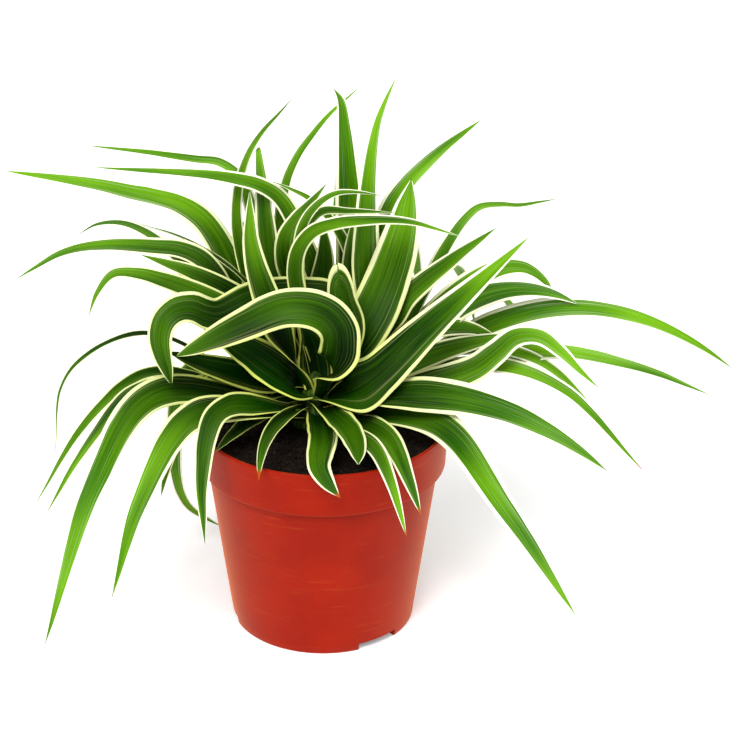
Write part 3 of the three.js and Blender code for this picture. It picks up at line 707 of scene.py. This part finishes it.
def six_rails(ring: np.ndarray, joined: np.ndarray) -> np.ndarray:
    """Follows a leaf's six rails: left edge, midrib and right edge of one face, then of the other.

    Between rings, a midrib point has one edge forward, and each edge point has two or three, which tells
    the rails apart.

    Args:
        ring: Each point's ring.
        joined: Which points an edge joins.

    Returns:
        Point numbers, a row of six for each ring.
    """
    forward = joined & (ring[None, :] == ring[:, None] + 1)
    ahead = [set(np.flatnonzero(row)) for row in forward]
    foot = np.flatnonzero(ring == 0)
    start = []
    for middle in foot:
        if len(ahead[middle]) == 1:
            near = [point for point in foot if point != middle and ahead[middle] <= ahead[point]]
            near.sort(key=lambda point: len(ahead[point]))
            start += [near[0], middle, near[1]]
    rails = [start]
    for _ in range(ring.max() - 1):
        a, b, c, d, e, f = rails[-1]
        next_b, next_e = ahead[b], ahead[e]
        next_a, next_d = ahead[a] - next_b, ahead[d] - next_e
        next_c, next_f = ahead[c] - next_b - next_d, ahead[f] - next_e - next_a
        rails.append([min(group) for group in (next_a, next_b, next_c, next_d, next_e, next_f)])
    return np.array(rails)


def catmull_rom(values: np.ndarray, rows: int) -> np.ndarray:
    """Uniform Catmull-Rom: each stretch is the cubic with slopes of half the next less the last value.

    Args:
        values: Rows of values at whole stations.
        rows: How many rows to return.

    Returns:
        Values at rows even steps from the first station to the last.
    """
    flat = values.reshape(len(values), -1)
    padded = np.concatenate([2 * flat[:1] - flat[1:2], flat, 2 * flat[-1:] - flat[-2:-1]])
    at = np.linspace(0, len(values) - 1, rows)
    k = np.minimum(at.astype(int), len(values) - 2)
    t = (at - k)[:, None]
    p0, p1, p2, p3 = padded[k], padded[k + 1], padded[k + 2], padded[k + 3]
    result = p1 + 0.5 * t * (p2 - p0 + t * (2 * p0 - 5 * p1 + 4 * p2 - p3 + t * (3 * (p1 - p2) + p3 - p0)))
    return result.reshape(rows, *values.shape[1:])


@dataclass
class Blade:
    """One leaf as a thin closed gutter along its spine. Shares are of its length or its half width."""

    name: str
    spine: Spine
    seed: int
    dry_tip: float = 0.0
    blunt: float = 0.0
    rows: int = 84
    columns: int = 12
    thickness: float = 0.45 * MM
    edge_thinning: float = 0.65
    gutter_round: float = 0.03
    foot_widening: float = 0.7
    clasp: float = 0.35
    foot_reach: float = 0.3
    ripple: float = 0.05
    ripple_counts: tuple[float, float] = (3, 6)
    ripple_rises: tuple[float, float] = (0.15, 0.5)
    dry_fade: float = 0.03

    def surface(self) -> tuple[np.ndarray, np.ndarray, np.ndarray]:
        """The blade's points and attributes.

        A point is the midrib plus its share across, a, of the half-width vector, raised along the upper
        direction by the gutter, sqrt(a^2 + r) scaled to reach the edge's rise, and by a small wave that
        grows with a^2. The foot is widened and folded up round the leaves inside it. The two faces stand
        half the thickness off, thinning to the edges, and meet in one point at the tip.

        Returns:
            Points, the blade attribute and the attribute of painted light and dryness.
        """
        draws = np.random.default_rng(self.seed)
        spine = self.spine.resampled(self.rows + 1)
        share = np.linspace(0, 1, self.rows + 1)[:-1, None]
        across = np.linspace(-1, 1, self.columns + 1)[None, :]
        if self.blunt > 0:
            spine.side = self.blunted(spine.side)
        width = np.linalg.norm(spine.side, axis=1)[:-1, None]
        upper = unit(spine.upper)[:-1, None]
        near_foot = 1 - smooth(share, 0, self.foot_reach)
        widen = 1 + self.foot_widening * near_foot
        rise = spine.rise[:-1, None] + self.clasp * near_foot * width * widen
        lowest, highest = math.sqrt(self.gutter_round), math.sqrt(1 + self.gutter_round)
        gutter = (np.sqrt(across ** 2 + self.gutter_round) - lowest) / (highest - lowest)
        waves = draws.uniform(*self.ripple_counts)
        phase = draws.uniform(0, 2 * math.pi, 2)
        wave = np.sin(2 * math.pi * waves * share + np.where(across < 0, phase[0], phase[1]))
        lift = rise * gutter + self.ripple * width * wave * across ** 2 * smooth(share, *self.ripple_rises)
        place = (spine.mid[:-1, None] + (across * widen)[..., None] * spine.side[:-1, None]
                 + lift[..., None] * upper)
        half = 0.5 * self.thickness * (1 - self.edge_thinning * across ** 2)
        offset = np.minimum(half, 0.4 * width)[..., None] * upper
        points = np.concatenate([
            (place + offset).reshape(-1, 3), (place - offset).reshape(-1, 3), spine.mid[-1:],
        ])
        return points, self.blade_attribute(spine, share, across), self.painted_light_and_dryness_attribute(points, share)

    def faces(self) -> list[np.ndarray]:
        """The upper and under face, the two edges, the foot's end and the tip."""
        grid = np.arange(self.rows * (self.columns + 1)).reshape(self.rows, self.columns + 1)
        below = grid + grid.size
        tip = 2 * grid.size
        return [
            quads(grid),
            quads(below)[:, ::-1],
            strip(below[:, 0], grid[:, 0]),
            strip(grid[:, -1], below[:, -1]),
            strip(grid[0], below[0]),
            fan(grid[-1], tip),
            fan(below[-1], tip)[:, ::-1],
            np.array([[below[-1, 0], grid[-1, 0], tip], [grid[-1, -1], below[-1, -1], tip]]),
        ]

    def blade_attribute(self, spine: Spine, share: np.ndarray, across: np.ndarray) -> np.ndarray:
        """Where on the leaf each point lies: how far across, how far along in mm, and the leaf's number.

        On a round end, how far across is (a^2 (1 - u^2) + u^2)^0.5, with u the share of the end gone by,
        so that the margin goes round it.

        Args:
            spine: The fine stations.
            share: Shares along, a column.
            across: Shares across, a row.

        Returns:
            A row for each point.
        """
        steps = np.linalg.norm(np.diff(spine.mid, axis=0), axis=1)
        along_mm = np.concatenate([[0], np.cumsum(steps)]) / MM
        into = np.clip((share - 1 + self.blunt) / self.blunt, 0, 1) if self.blunt > 0 else 0 * share
        round_across = np.where(across < 0, -1, 1) * np.sqrt(across ** 2 * (1 - into ** 2) + into ** 2)
        number = float(self.seed)
        face = np.stack(np.broadcast_arrays(round_across, along_mm[:-1, None], number), axis=-1)
        tip = np.array([[float(self.blunt > 0), along_mm[-1], number]])
        return np.concatenate([face.reshape(-1, 3), face.reshape(-1, 3), tip])

    def painted_light_and_dryness_attribute(self, points: np.ndarray, share: np.ndarray) -> np.ndarray:
        """Painted light at each point, 0 in the heart's painted shade and 1 outside, how dry it is, and a
        zero.
        """
        light = painted_light_share(points)
        along = np.append(np.tile(np.repeat(share, self.columns + 1), 2), 1.0)
        dry_from = 1 - self.dry_tip
        dryness = smooth(along, dry_from, dry_from + self.dry_fade) if self.dry_tip > 0 else 0 * along
        return np.stack([light, dryness, 0 * along], axis=1)

    def blunted(self, side: np.ndarray) -> np.ndarray:
        """Half-width vectors with a round end: over the last share s they follow (1 - (t / s)^2)^0.5."""
        share = np.linspace(0, 1, len(side))
        width = np.linalg.norm(side, axis=1)
        into = np.clip((share - 1 + self.blunt) / self.blunt, 0, 1)
        rounded = np.interp(1 - self.blunt, share, width) * np.sqrt(1 - into ** 2)
        direction = unit(side)
        direction[-1] = direction[-2]
        return direction * np.where(into > 0, rounded, width)[:, None]

    def build(self, material: bpy.types.Material) -> bpy.types.Object:
        """Makes the blade's object.

        Args:
            material: The leaf's material.

        Returns:
            The object, not yet riding on the frame.
        """
        points, blade, painted_light_and_dryness = self.surface()
        piece = mesh_object(self.name, points, self.faces())
        set_attribute(piece, "blade", blade)
        set_attribute(piece, "painted_light_and_dryness", painted_light_and_dryness)
        piece.data.materials.append(material)
        return piece


def painted_light_share(points: np.ndarray) -> np.ndarray:
    """Painted light and shade: 0 in the plant's heart, where shade is painted, and 1 at its outside, by
    distance from the heart.
    """
    heart = np.array([-20.0, 12.0, 122.0]) * MM
    stretch = np.array([0.9, 1.1, 1.1])
    return smooth(np.linalg.norm((points - heart) * stretch, axis=1), 24 * MM, 130 * MM)


def quads(grid: np.ndarray) -> np.ndarray:
    """Quads of a grid of point numbers, wound from the row direction to the column direction."""
    return np.stack([grid[:-1, :-1], grid[:-1, 1:], grid[1:, 1:], grid[1:, :-1]], axis=-1).reshape(-1, 4)


def strip(first: np.ndarray, second: np.ndarray) -> np.ndarray:
    """Quads between two rows of point numbers."""
    return np.stack([first[:-1], second[:-1], second[1:], first[1:]], axis=-1)


def fan(row: np.ndarray, point: int) -> np.ndarray:
    """Triangles from a row of point numbers to one point."""
    return np.stack([row[:-1], row[1:], np.full(len(row) - 1, point)], axis=-1)


@dataclass
class NurseryPot:
    """The thin-walled pot, turned from one profile with rounded edges, with drain cut-outs at its foot."""

    height: float = 105 * MM
    rim_radius: float = 60 * MM
    collar_foot_radius: float = 59 * MM
    collar_foot: float = 83 * MM
    neck_radius: float = 55.5 * MM
    foot_radius: float = 44.5 * MM
    wall: float = 1.6 * MM
    floor: float = 2 * MM
    sharp_deg: float = 40.0
    sides: int = 192
    cutouts: int = 3
    cutout_first_deg: float = -53.0
    cutout_size: tuple[float, float, float] = (16 * MM, 22 * MM, 8 * MM)

    def profile(self) -> np.ndarray:
        """Radius and height of the closed outline, with small arcs at the foot, step and rim."""
        w = self.wall
        outer = [
            (0, 0), (self.foot_radius - 6 * MM, 0),
            *arc(self.foot_radius - 1.2 * MM, 1.2 * MM, 1.2 * MM, -90, -10),
            (self.neck_radius - 0.15 * MM, self.collar_foot - 3 * MM),
            *arc(self.neck_radius + 1.0 * MM, self.collar_foot - 0.8 * MM, 0.9 * MM, 180, 95),
            *arc(self.collar_foot_radius - 0.7 * MM, self.collar_foot + 0.9 * MM, 0.7 * MM, -85, 0),
            *arc(self.rim_radius - 0.6 * MM, self.height - 0.6 * MM, 0.6 * MM, 0, 90),
            *arc(self.rim_radius - w + 0.4 * MM, self.height - 0.4 * MM, 0.4 * MM, 90, 180),
            (self.collar_foot_radius - w, self.collar_foot + 1 * MM),
            (self.neck_radius - w, self.collar_foot - 1 * MM),
            (self.foot_radius - w, self.floor), (0, self.floor),
        ]
        return np.array(outer)

    def build(self, material: bpy.types.Material) -> bpy.types.Object:
        """Turns the profile round the upright axis and cuts the drain openings.

        A point of the shell is (r cos a, r sin a, z) for each profile point and angle.

        Args:
            material: The pot's material.

        Returns:
            The pot's object.
        """
        profile = subdivided(self.profile(), 4 * MM)
        piece = turned_object("pot_shell", profile, self.sides, smooth_angle=self.sharp_deg)
        for i in range(self.cutouts):
            self.cut(piece, math.radians(self.cutout_first_deg + i * 360 / self.cutouts))
        piece.data.set_sharp_from_angle(angle=math.radians(self.sharp_deg))
        piece.data.materials.append(material)
        return piece

    def cut(self, piece: bpy.types.Object, angle: float) -> None:
        """Cuts one drain opening through the foot at an angle round the pot."""
        corners = np.array([(x, y, z) for x in (-0.5, 0.5) for y in (-0.5, 0.5) for z in (-0.5, 0.5)])
        corners = corners * np.array(self.cutout_size) + np.array([self.foot_radius, 0, 0])
        turn = np.array([
            [math.cos(angle), math.sin(angle), 0],
            [-math.sin(angle), math.cos(angle), 0],
            [0, 0, 1],
        ])
        faces = np.array([
            [0, 1, 3, 2], [4, 6, 7, 5], [0, 4, 5, 1], [2, 3, 7, 6], [0, 2, 6, 4], [1, 5, 7, 3],
        ])
        cutter = mesh_object("cutter", corners @ turn, [faces])
        modifier = piece.modifiers.new("drain", "BOOLEAN")
        modifier.object = cutter
        modifier.operation = "DIFFERENCE"
        modifier.solver = "EXACT"
        apply_modifiers(piece)
        bpy.data.objects.remove(cutter)


def arc(
    radius: float, height: float, size: float, start_deg: float, end_deg: float,
) -> list[tuple[float, float]]:
    """Five points of a circle of the given size about (radius, height), between two angles."""
    angles = np.radians(np.linspace(start_deg, end_deg, 5))
    return list(zip(radius + size * np.cos(angles), height + size * np.sin(angles)))


def subdivided(profile: np.ndarray, step: float) -> np.ndarray:
    """Adds points to a profile so that none lie further apart than a step."""
    pieces = [
        np.linspace(first, second, max(1, math.ceil(np.linalg.norm(second - first) / step)), endpoint=False)
        for first, second in zip(profile[:-1], profile[1:])
    ]
    return np.concatenate([*pieces, profile[-1:]])


def turned_object(name: str, profile: np.ndarray, sides: int, smooth_angle: float | None = None,
                  centre: tuple[float, float] = (0.0, 0.0)) -> bpy.types.Object:
    """Turns a profile that starts and ends on the axis.

    Args:
        name: The piece's name.
        profile: Radius and height rows, going anticlockwise round the solid's right half.
        sides: Points round the axis.
        smooth_angle: Edges sharper than this many degrees stay sharp.
        centre: Where the axis stands.

    Returns:
        The closed object, with one point at each pole.
    """
    angles = np.linspace(0, 2 * math.pi, sides, endpoint=False)
    ring = profile[1:-1]
    places = np.stack([
        centre[0] + ring[:, :1] * np.cos(angles),
        centre[1] + ring[:, :1] * np.sin(angles),
        np.broadcast_to(ring[:, 1:], (len(ring), sides)),
    ], axis=-1).reshape(-1, 3)
    poles = np.array([[*centre, profile[0, 1]], [*centre, profile[-1, 1]]])
    points = np.concatenate([places, poles])
    grid = np.arange(len(places)).reshape(len(ring), sides)
    closed = np.concatenate([grid, grid[:, :1]], axis=1)
    faces = [
        quads(closed),
        fan(closed[0], len(points) - 2)[:, ::-1],
        fan(closed[-1], len(points) - 1),
    ]
    return mesh_object(name, points, faces, smooth_angle)


def apply_modifiers(piece: bpy.types.Object) -> None:
    """Replaces a piece's mesh by what its modifiers make of it."""
    depsgraph = bpy.context.evaluated_depsgraph_get()
    mesh = bpy.data.meshes.new_from_object(piece.evaluated_get(depsgraph))
    old = piece.data
    piece.modifiers.clear()
    piece.data = mesh
    bpy.data.meshes.remove(old)


@dataclass
class SoilBed:
    """Potting mix in the pot: a lumpy top that fills the pot, with loose crumbs lying on it."""

    top: float = 98 * MM
    bottom: float = 2.3 * MM
    bottom_radius: float = 42.6 * MM
    shoulder: float = 81 * MM
    top_radius: float = 53.0 * MM
    lump: float = 1.1 * MM
    wave_count: int = 36
    wave_lengths: tuple[float, float] = (4 * MM, 30 * MM)
    rings: int = 70
    inmost_ring: float = 0.012
    sides: int = 220
    crumbs: int = 900
    crumb_sizes: tuple[float, float] = (0.5 * MM, 1.9 * MM)
    crumb_stretch: tuple[float, float] = (0.6, 1.3)
    crumb_roughness: tuple[float, float] = (0.8, 1.15)
    rim_gap: float = 3 * MM
    seed: int = 11

    def height(self, x: np.ndarray, y: np.ndarray) -> np.ndarray:
        """The top's height: sine waves of many lengths in seeded directions, summed and scaled."""
        draws = np.random.default_rng(self.seed)
        shortest, longest = self.wave_lengths
        lengths = shortest * (longest / shortest) ** draws.uniform(0, 1, self.wave_count)
        headings = draws.uniform(0, 2 * math.pi, self.wave_count)
        phases = draws.uniform(0, 2 * math.pi, self.wave_count)
        along = x[..., None] * np.cos(headings) + y[..., None] * np.sin(headings)
        waves = np.sin(2 * math.pi * along / lengths + phases) * np.sqrt(lengths)
        return self.top + self.lump * waves.sum(-1) / np.sqrt(2 * lengths.sum())

    def build(self, material: bpy.types.Material) -> bpy.types.Object:
        """Makes the bed and its crumbs as one piece.

        Args:
            material: The soil's material.

        Returns:
            The soil's object.
        """
        angles = np.linspace(0, 2 * math.pi, self.sides, endpoint=False)
        radii = self.top_radius * np.linspace(1, self.inmost_ring, self.rings)[:, None]
        x, y = radii * np.cos(angles), radii * np.sin(angles)
        top = np.stack([x, y, self.height(x, y)], axis=-1)
        shoulder = np.stack([x[0], y[0], np.full(self.sides, self.shoulder)], axis=-1)
        share = self.bottom_radius / self.top_radius
        foot = np.stack([share * x[0], share * y[0], np.full(self.sides, self.bottom)], axis=-1)
        places = np.concatenate([foot[None], shoulder[None], top]).reshape(-1, 3)
        poles = np.array([[0, 0, self.bottom], [0, 0, top[-1, :, 2].mean()]])
        points = np.concatenate([places, poles])
        grid = np.arange(len(places)).reshape(-1, self.sides)
        closed = np.concatenate([grid, grid[:, :1]], axis=1)
        crumb_points, crumb_faces = self.crumb_shapes()
        faces = [
            quads(closed),
            fan(closed[0], len(points) - 2)[:, ::-1],
            fan(closed[-1], len(points) - 1),
            crumb_faces + len(points),
        ]
        piece = mesh_object("soil_bed", np.concatenate([points, crumb_points]), faces)
        piece.data.materials.append(material)
        return piece

    def crumb_shapes(self) -> tuple[np.ndarray, np.ndarray]:
        """Loose crumbs: octahedra split once, each stretched, turned and half sunk where it lies.

        Returns:
            Points and triangles of all the crumbs.
        """
        draws = np.random.default_rng(self.seed + 1)
        corners, triangles = split_octahedron()
        count = self.crumbs
        radius = (self.top_radius - self.rim_gap) * np.sqrt(draws.uniform(0.02, 1, count))
        angle = draws.uniform(0, 2 * math.pi, count)
        x, y = radius * np.cos(angle), radius * np.sin(angle)
        least, most = self.crumb_sizes
        size = least + (most - least) * draws.uniform(0, 1, count) ** 3
        stretch = draws.uniform(*self.crumb_stretch, (count, 1, 3)) * size[:, None, None]
        rough = draws.uniform(*self.crumb_roughness, (count, len(corners), 1))
        turned = turn_about_z(corners[None] * rough * stretch, draws.uniform(0, 2 * math.pi, count))
        centre = np.stack([x, y, self.height(x, y) + 0.25 * size], axis=-1)
        points = (turned + centre[:, None]).reshape(-1, 3)
        step = np.arange(count)[:, None, None] * len(corners)
        return points, (triangles[None] + step).reshape(-1, 3)


def split_octahedron() -> tuple[np.ndarray, np.ndarray]:
    """A ball of 18 points and 32 triangles: an octahedron whose edges' middles are pushed out."""
    corners = np.array([[1, 0, 0], [-1, 0, 0], [0, 1, 0], [0, -1, 0], [0, 0, 1], [0, 0, -1]], float)
    faces = np.array([
        [0, 2, 4], [2, 1, 4], [1, 3, 4], [3, 0, 4], [2, 0, 5], [1, 2, 5], [3, 1, 5], [0, 3, 5],
    ])
    pairs = np.sort(np.concatenate([faces[:, [0, 1]], faces[:, [1, 2]], faces[:, [2, 0]]]), axis=1)
    edges, number = np.unique(pairs, axis=0, return_inverse=True)
    middles = unit(corners[edges].sum(axis=1))
    ab, bc, ca = (number.ravel() + 6).reshape(3, -1)
    a, b, c = faces.T
    split = [[a, ab, ca], [b, bc, ab], [c, ca, bc], [ab, bc, ca]]
    return np.concatenate([corners, middles]), np.concatenate([np.stack(group, axis=1) for group in split])


def turn_about_z(shapes: np.ndarray, angles: np.ndarray) -> np.ndarray:
    """Turns each shape in a stack of point lists about the upright axis by its own angle."""
    c, s = np.cos(angles)[:, None], np.sin(angles)[:, None]
    return np.stack([
        c * shapes[..., 0] - s * shapes[..., 1],
        s * shapes[..., 0] + c * shapes[..., 1],
        shapes[..., 2],
    ], axis=-1)


@dataclass(frozen=True)
class InnerLeaf:
    """A half hidden leaf that is grown together with its crown.

    Its route is the places in millimetres that its midrib passes at even steps, from foot to tip.
    """

    width: float
    face: float
    taper: float
    route: tuple


@dataclass
class Crown:
    """A stock of packed leaf bases with its inner leaves, as the frame's crown of the same name."""

    name: str
    x: float
    y: float
    rise: float
    inner: tuple[InnerLeaf, ...]
    soil_top: float = 98 * MM
    foot_radius: float = 12 * MM
    top_radius: float = 3 * MM
    root_radius: float = 7 * MM
    root_depth: float = 16 * MM

    def stock(self, material: bpy.types.Material) -> bpy.types.Object:
        """The stock, turned about its own upright axis, with its root stub below."""
        top = self.soil_top + self.rise
        profile = np.array([
            (0, self.soil_top - self.root_depth),
            (self.root_radius, self.soil_top - self.root_depth),
            (self.root_radius, self.soil_top),
            (0.9 * self.foot_radius, self.soil_top + 1.5 * MM),
            (self.foot_radius, self.soil_top + 4 * MM),
            (0.5 * (self.foot_radius + self.top_radius), self.soil_top + 0.5 * self.rise),
            (self.top_radius, top - 1 * MM),
            (0, top + 1 * MM),
        ])
        piece = turned_object(f"{self.name}_stock", subdivided(profile, 2 * MM), 40, centre=(self.x, self.y))
        piece.data.materials.append(material)
        return piece

    def leaves(self, seed: int) -> list[Blade]:
        """The inner leaves, finer than in the solid, each with its own seed from the one given on."""
        return [
            Blade(f"{self.name}_inner_{i + 1}", Spine.from_route(leaf), seed + i, rows=48)
            for i, leaf in enumerate(self.inner)
        ]


@dataclass
class SpiderPlant:
    """The whole plant: crowns and leaves."""

    crowns: list[Crown] = field(default_factory=lambda: [
        Crown("crown_front", -4 * MM, 6 * MM, 28 * MM, (
            InnerLeaf(8 * MM, 0.6, 2.4, ((-5, 8, 118), (-8, 10, 139), (-11, 11, 160), (-12, 14, 181),
                                         (-8, 12, 203), (7, 11, 216), (28, 11, 214))),
            InnerLeaf(18 * MM, 0.9, 2.8, ((-3, 3, 118), (-3, 6, 124), (-4, 8, 130), (-5, 9, 137),
                                          (-7, 7, 145), (-11, 5, 152))),
            InnerLeaf(17 * MM, 0.8, 2.4, ((-7, 7, 117), (-20, 10, 118), (-34, 8, 123), (-47, 5, 128),
                                          (-61, 4, 133), (-74, 4, 138))),
        )),
        Crown("crown_left", -25 * MM, 30 * MM, 20 * MM, (
            InnerLeaf(17 * MM, 0.9, 2.8, ((-22, 29, 113), (-13, 34, 125), (-6, 35, 141), (-1, 38, 156),
                                          (1, 42, 172), (0, 46, 188))),
            InnerLeaf(17 * MM, 0.9, 2.8, ((-27, 33, 112), (-29, 38, 128), (-30, 41, 145), (-30, 44, 162),
                                          (-29, 49, 179), (-28, 53, 195))),
            InnerLeaf(17 * MM, 0.9, 2.8, ((-24, 28, 112), (-23, 25, 124), (-21, 24, 137), (-19, 27, 148),
                                          (-17, 26, 162), (-15, 27, 175))),
            InnerLeaf(16 * MM, 0.7, 2.4, ((-27, 30, 112), (-38, 27, 111), (-49, 17, 114), (-60, 14, 114),
                                          (-72, 11, 115), (-83, 8, 116))),
        )),
        Crown("crown_right", 24 * MM, 32 * MM, 24 * MM, (
            InnerLeaf(8 * MM, 0.5, 2.4, ((22, 35, 114), (19, 37, 136), (16, 40, 159), (9, 41, 181),
                                         (-5, 43, 199), (-25, 44, 209))),
            InnerLeaf(9 * MM, 0.6, 2.4, ((26, 31, 115), (45, 22, 125), (64, 19, 132), (85, 13, 135),
                                         (105, 5, 131), (122, -2, 118), (136, -9, 102))),
            InnerLeaf(18 * MM, 0.9, 2.8, ((22, 32, 114), (19, 37, 126), (17, 38, 142), (15, 38, 158),
                                          (14, 38, 174), (14, 43, 189))),
            InnerLeaf(15 * MM, 0.8, 2.4, ((27, 33, 114), (34, 27, 127), (44, 26, 137), (57, 23, 142),
                                          (71, 19, 143), (84, 17, 139))),
        )),
    ])
    dry_tips: dict = field(default_factory=lambda: {
        "leaf_front_2": 0.1, "leaf_front_3": 0.05, "leaf_front_5": 0.06, "leaf_front_6": 0.05,
        "leaf_low_right_3": 0.04, "leaf_left_2": 0.03,
    })
    blunt_tips: dict = field(default_factory=lambda: {"leaf_heart_5": 0.24})
    narrow_feet: frozenset = frozenset({"leaf_heart_3"})
    narrow_foot_widening: float = 0.1

    def build(self) -> None:
        """Builds every crown and leaf and stands each in for its CAD node."""
        leaf_look = VariegatedLeaf().make("living_leaf_variegated")
        sheath_look = LeafSheath().make("leaf_sheath_packed")
        for number, crown in enumerate(self.crowns):
            pieces = [crown.stock(sheath_look)]
            pieces += [blade.build(leaf_look) for blade in crown.leaves(900 + 10 * number)]
            for piece, slot in zip(pieces, [Slot.SHEATH] + [Slot.BLADE] * len(pieces)):
                settle_piece(piece, slot, crown.name)
        names = sorted(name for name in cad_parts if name.startswith("leaf_"))
        for number, node in enumerate(names):
            blade = Blade(
                f"{node}_blade", Spine.from_node(node), number,
                dry_tip=self.dry_tips.get(node, 0.0), blunt=self.blunt_tips.get(node, 0.0),
            )
            if node in self.narrow_feet:
                blade.foot_widening = self.narrow_foot_widening
            settle_piece(blade.build(leaf_look), Slot.BLADE, node)


def settle_piece(piece: bpy.types.Object, slot: Slot, *nodes: str) -> None:
    """Rides a piece on the one body, stands it in for its nodes, and reports it."""
    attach(piece, "root")
    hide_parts(*nodes)
    log.info("%s: %d faces", piece.name, len(piece.data.polygons))


@dataclass
class Studio:
    """Camera, floor and lights: the photo's angle, a pale floor and soft light."""

    camera_place: tuple[float, float, float] = (0.0, -1.0, 0.6056)
    pitch: float = 0.443
    focal_pixels: float = 2337.2
    picture_pixels: int = 736
    principal_column: float = 323.0
    sensor_mm: float = 36.0
    world_strength: float = 0.5
    floor_half: float = 60.0
    floor_glow: float = 0.2

    def build(self) -> None:
        """Makes the camera, the floor, the lights and the world."""
        data = bpy.data.cameras.new("camera")
        data.sensor_width = self.sensor_mm
        data.lens = self.focal_pixels / self.picture_pixels * self.sensor_mm
        data.shift_x = (0.5 * self.picture_pixels - self.principal_column) / self.picture_pixels
        data.clip_end = 200.0
        camera = bpy.data.objects.new("camera", data)
        camera.location = self.camera_place
        camera.rotation_euler = (0.5 * math.pi - self.pitch, 0.0, 0.0)
        bpy.context.scene.collection.objects.link(camera)
        bpy.context.scene.camera = camera
        self.floor()
        self.light("key", (-0.35, -0.85, 1.15), 0.5, 2.9)
        self.light("fill", (0.7, -0.6, 1.2), 0.9, 0.9)
        world = bpy.data.worlds.new("studio")
        world.use_nodes = True
        feed(world.node_tree, world.node_tree.nodes["Background"], {
            "Color": (1, 1, 1, 1), "Strength": self.world_strength,
        })
        bpy.context.scene.world = world
        bpy.context.scene.view_settings.view_transform = "Standard"

    def floor(self) -> None:
        """A plain pale floor under the pot, which glows a little so that shadows on it stay faint."""
        half = self.floor_half
        corners = np.array([[-half, -half, 0], [half, -half, 0], [half, half, 0], [-half, half, 0]])
        floor = mesh_object("studio_floor", corners, [np.array([[0, 1, 2, 3]])])
        material, tree, shader = new_material("pale_floor")
        feed(tree, shader, {
            "Base Color": linear("FDFDFD"),
            "Roughness": 0.9,
            "Specular IOR Level": 0.1,
            "Emission Color": linear("FFFFFF"),
            "Emission Strength": self.floor_glow,
        })
        floor.data.materials.append(material)

    def light(self, name: str, place: tuple[float, float, float], angle: float, strength: float) -> None:
        """A broad, far light that shines from the given side.

        Args:
            name: The lamp's name.
            place: A point on the line from the plant to the light.
            angle: How wide the light looks from the plant, in radians.
            strength: Its power on a surface that faces it.
        """
        data = bpy.data.lights.new(name, "SUN")
        data.angle = angle
        data.energy = strength
        lamp = bpy.data.objects.new(name, data)
        lamp.location = place
        away = -np.array(place)
        lamp.rotation_euler = (
            math.atan2(math.hypot(away[0], away[1]), -away[2]), 0.0,
            math.atan2(away[1], away[0]) - 0.5 * math.pi,
        )
        bpy.context.scene.collection.objects.link(lamp)


def main() -> None:
    """Builds the studio, the pot, the soil and the plant."""
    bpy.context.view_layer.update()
    Studio().build()
    pot = NurseryPot().build(MouldedTerracottaPlastic().make("polypropylene_moulded_terracotta"))
    settle_piece(pot, Slot.POT, "pot")
    soil = SoilBed().build(MoistPottingMix().make("potting_mix_moist"))
    settle_piece(soil, Slot.SOIL, "soil")
    SpiderPlant().build()


if __name__ == "__main__":
    main()
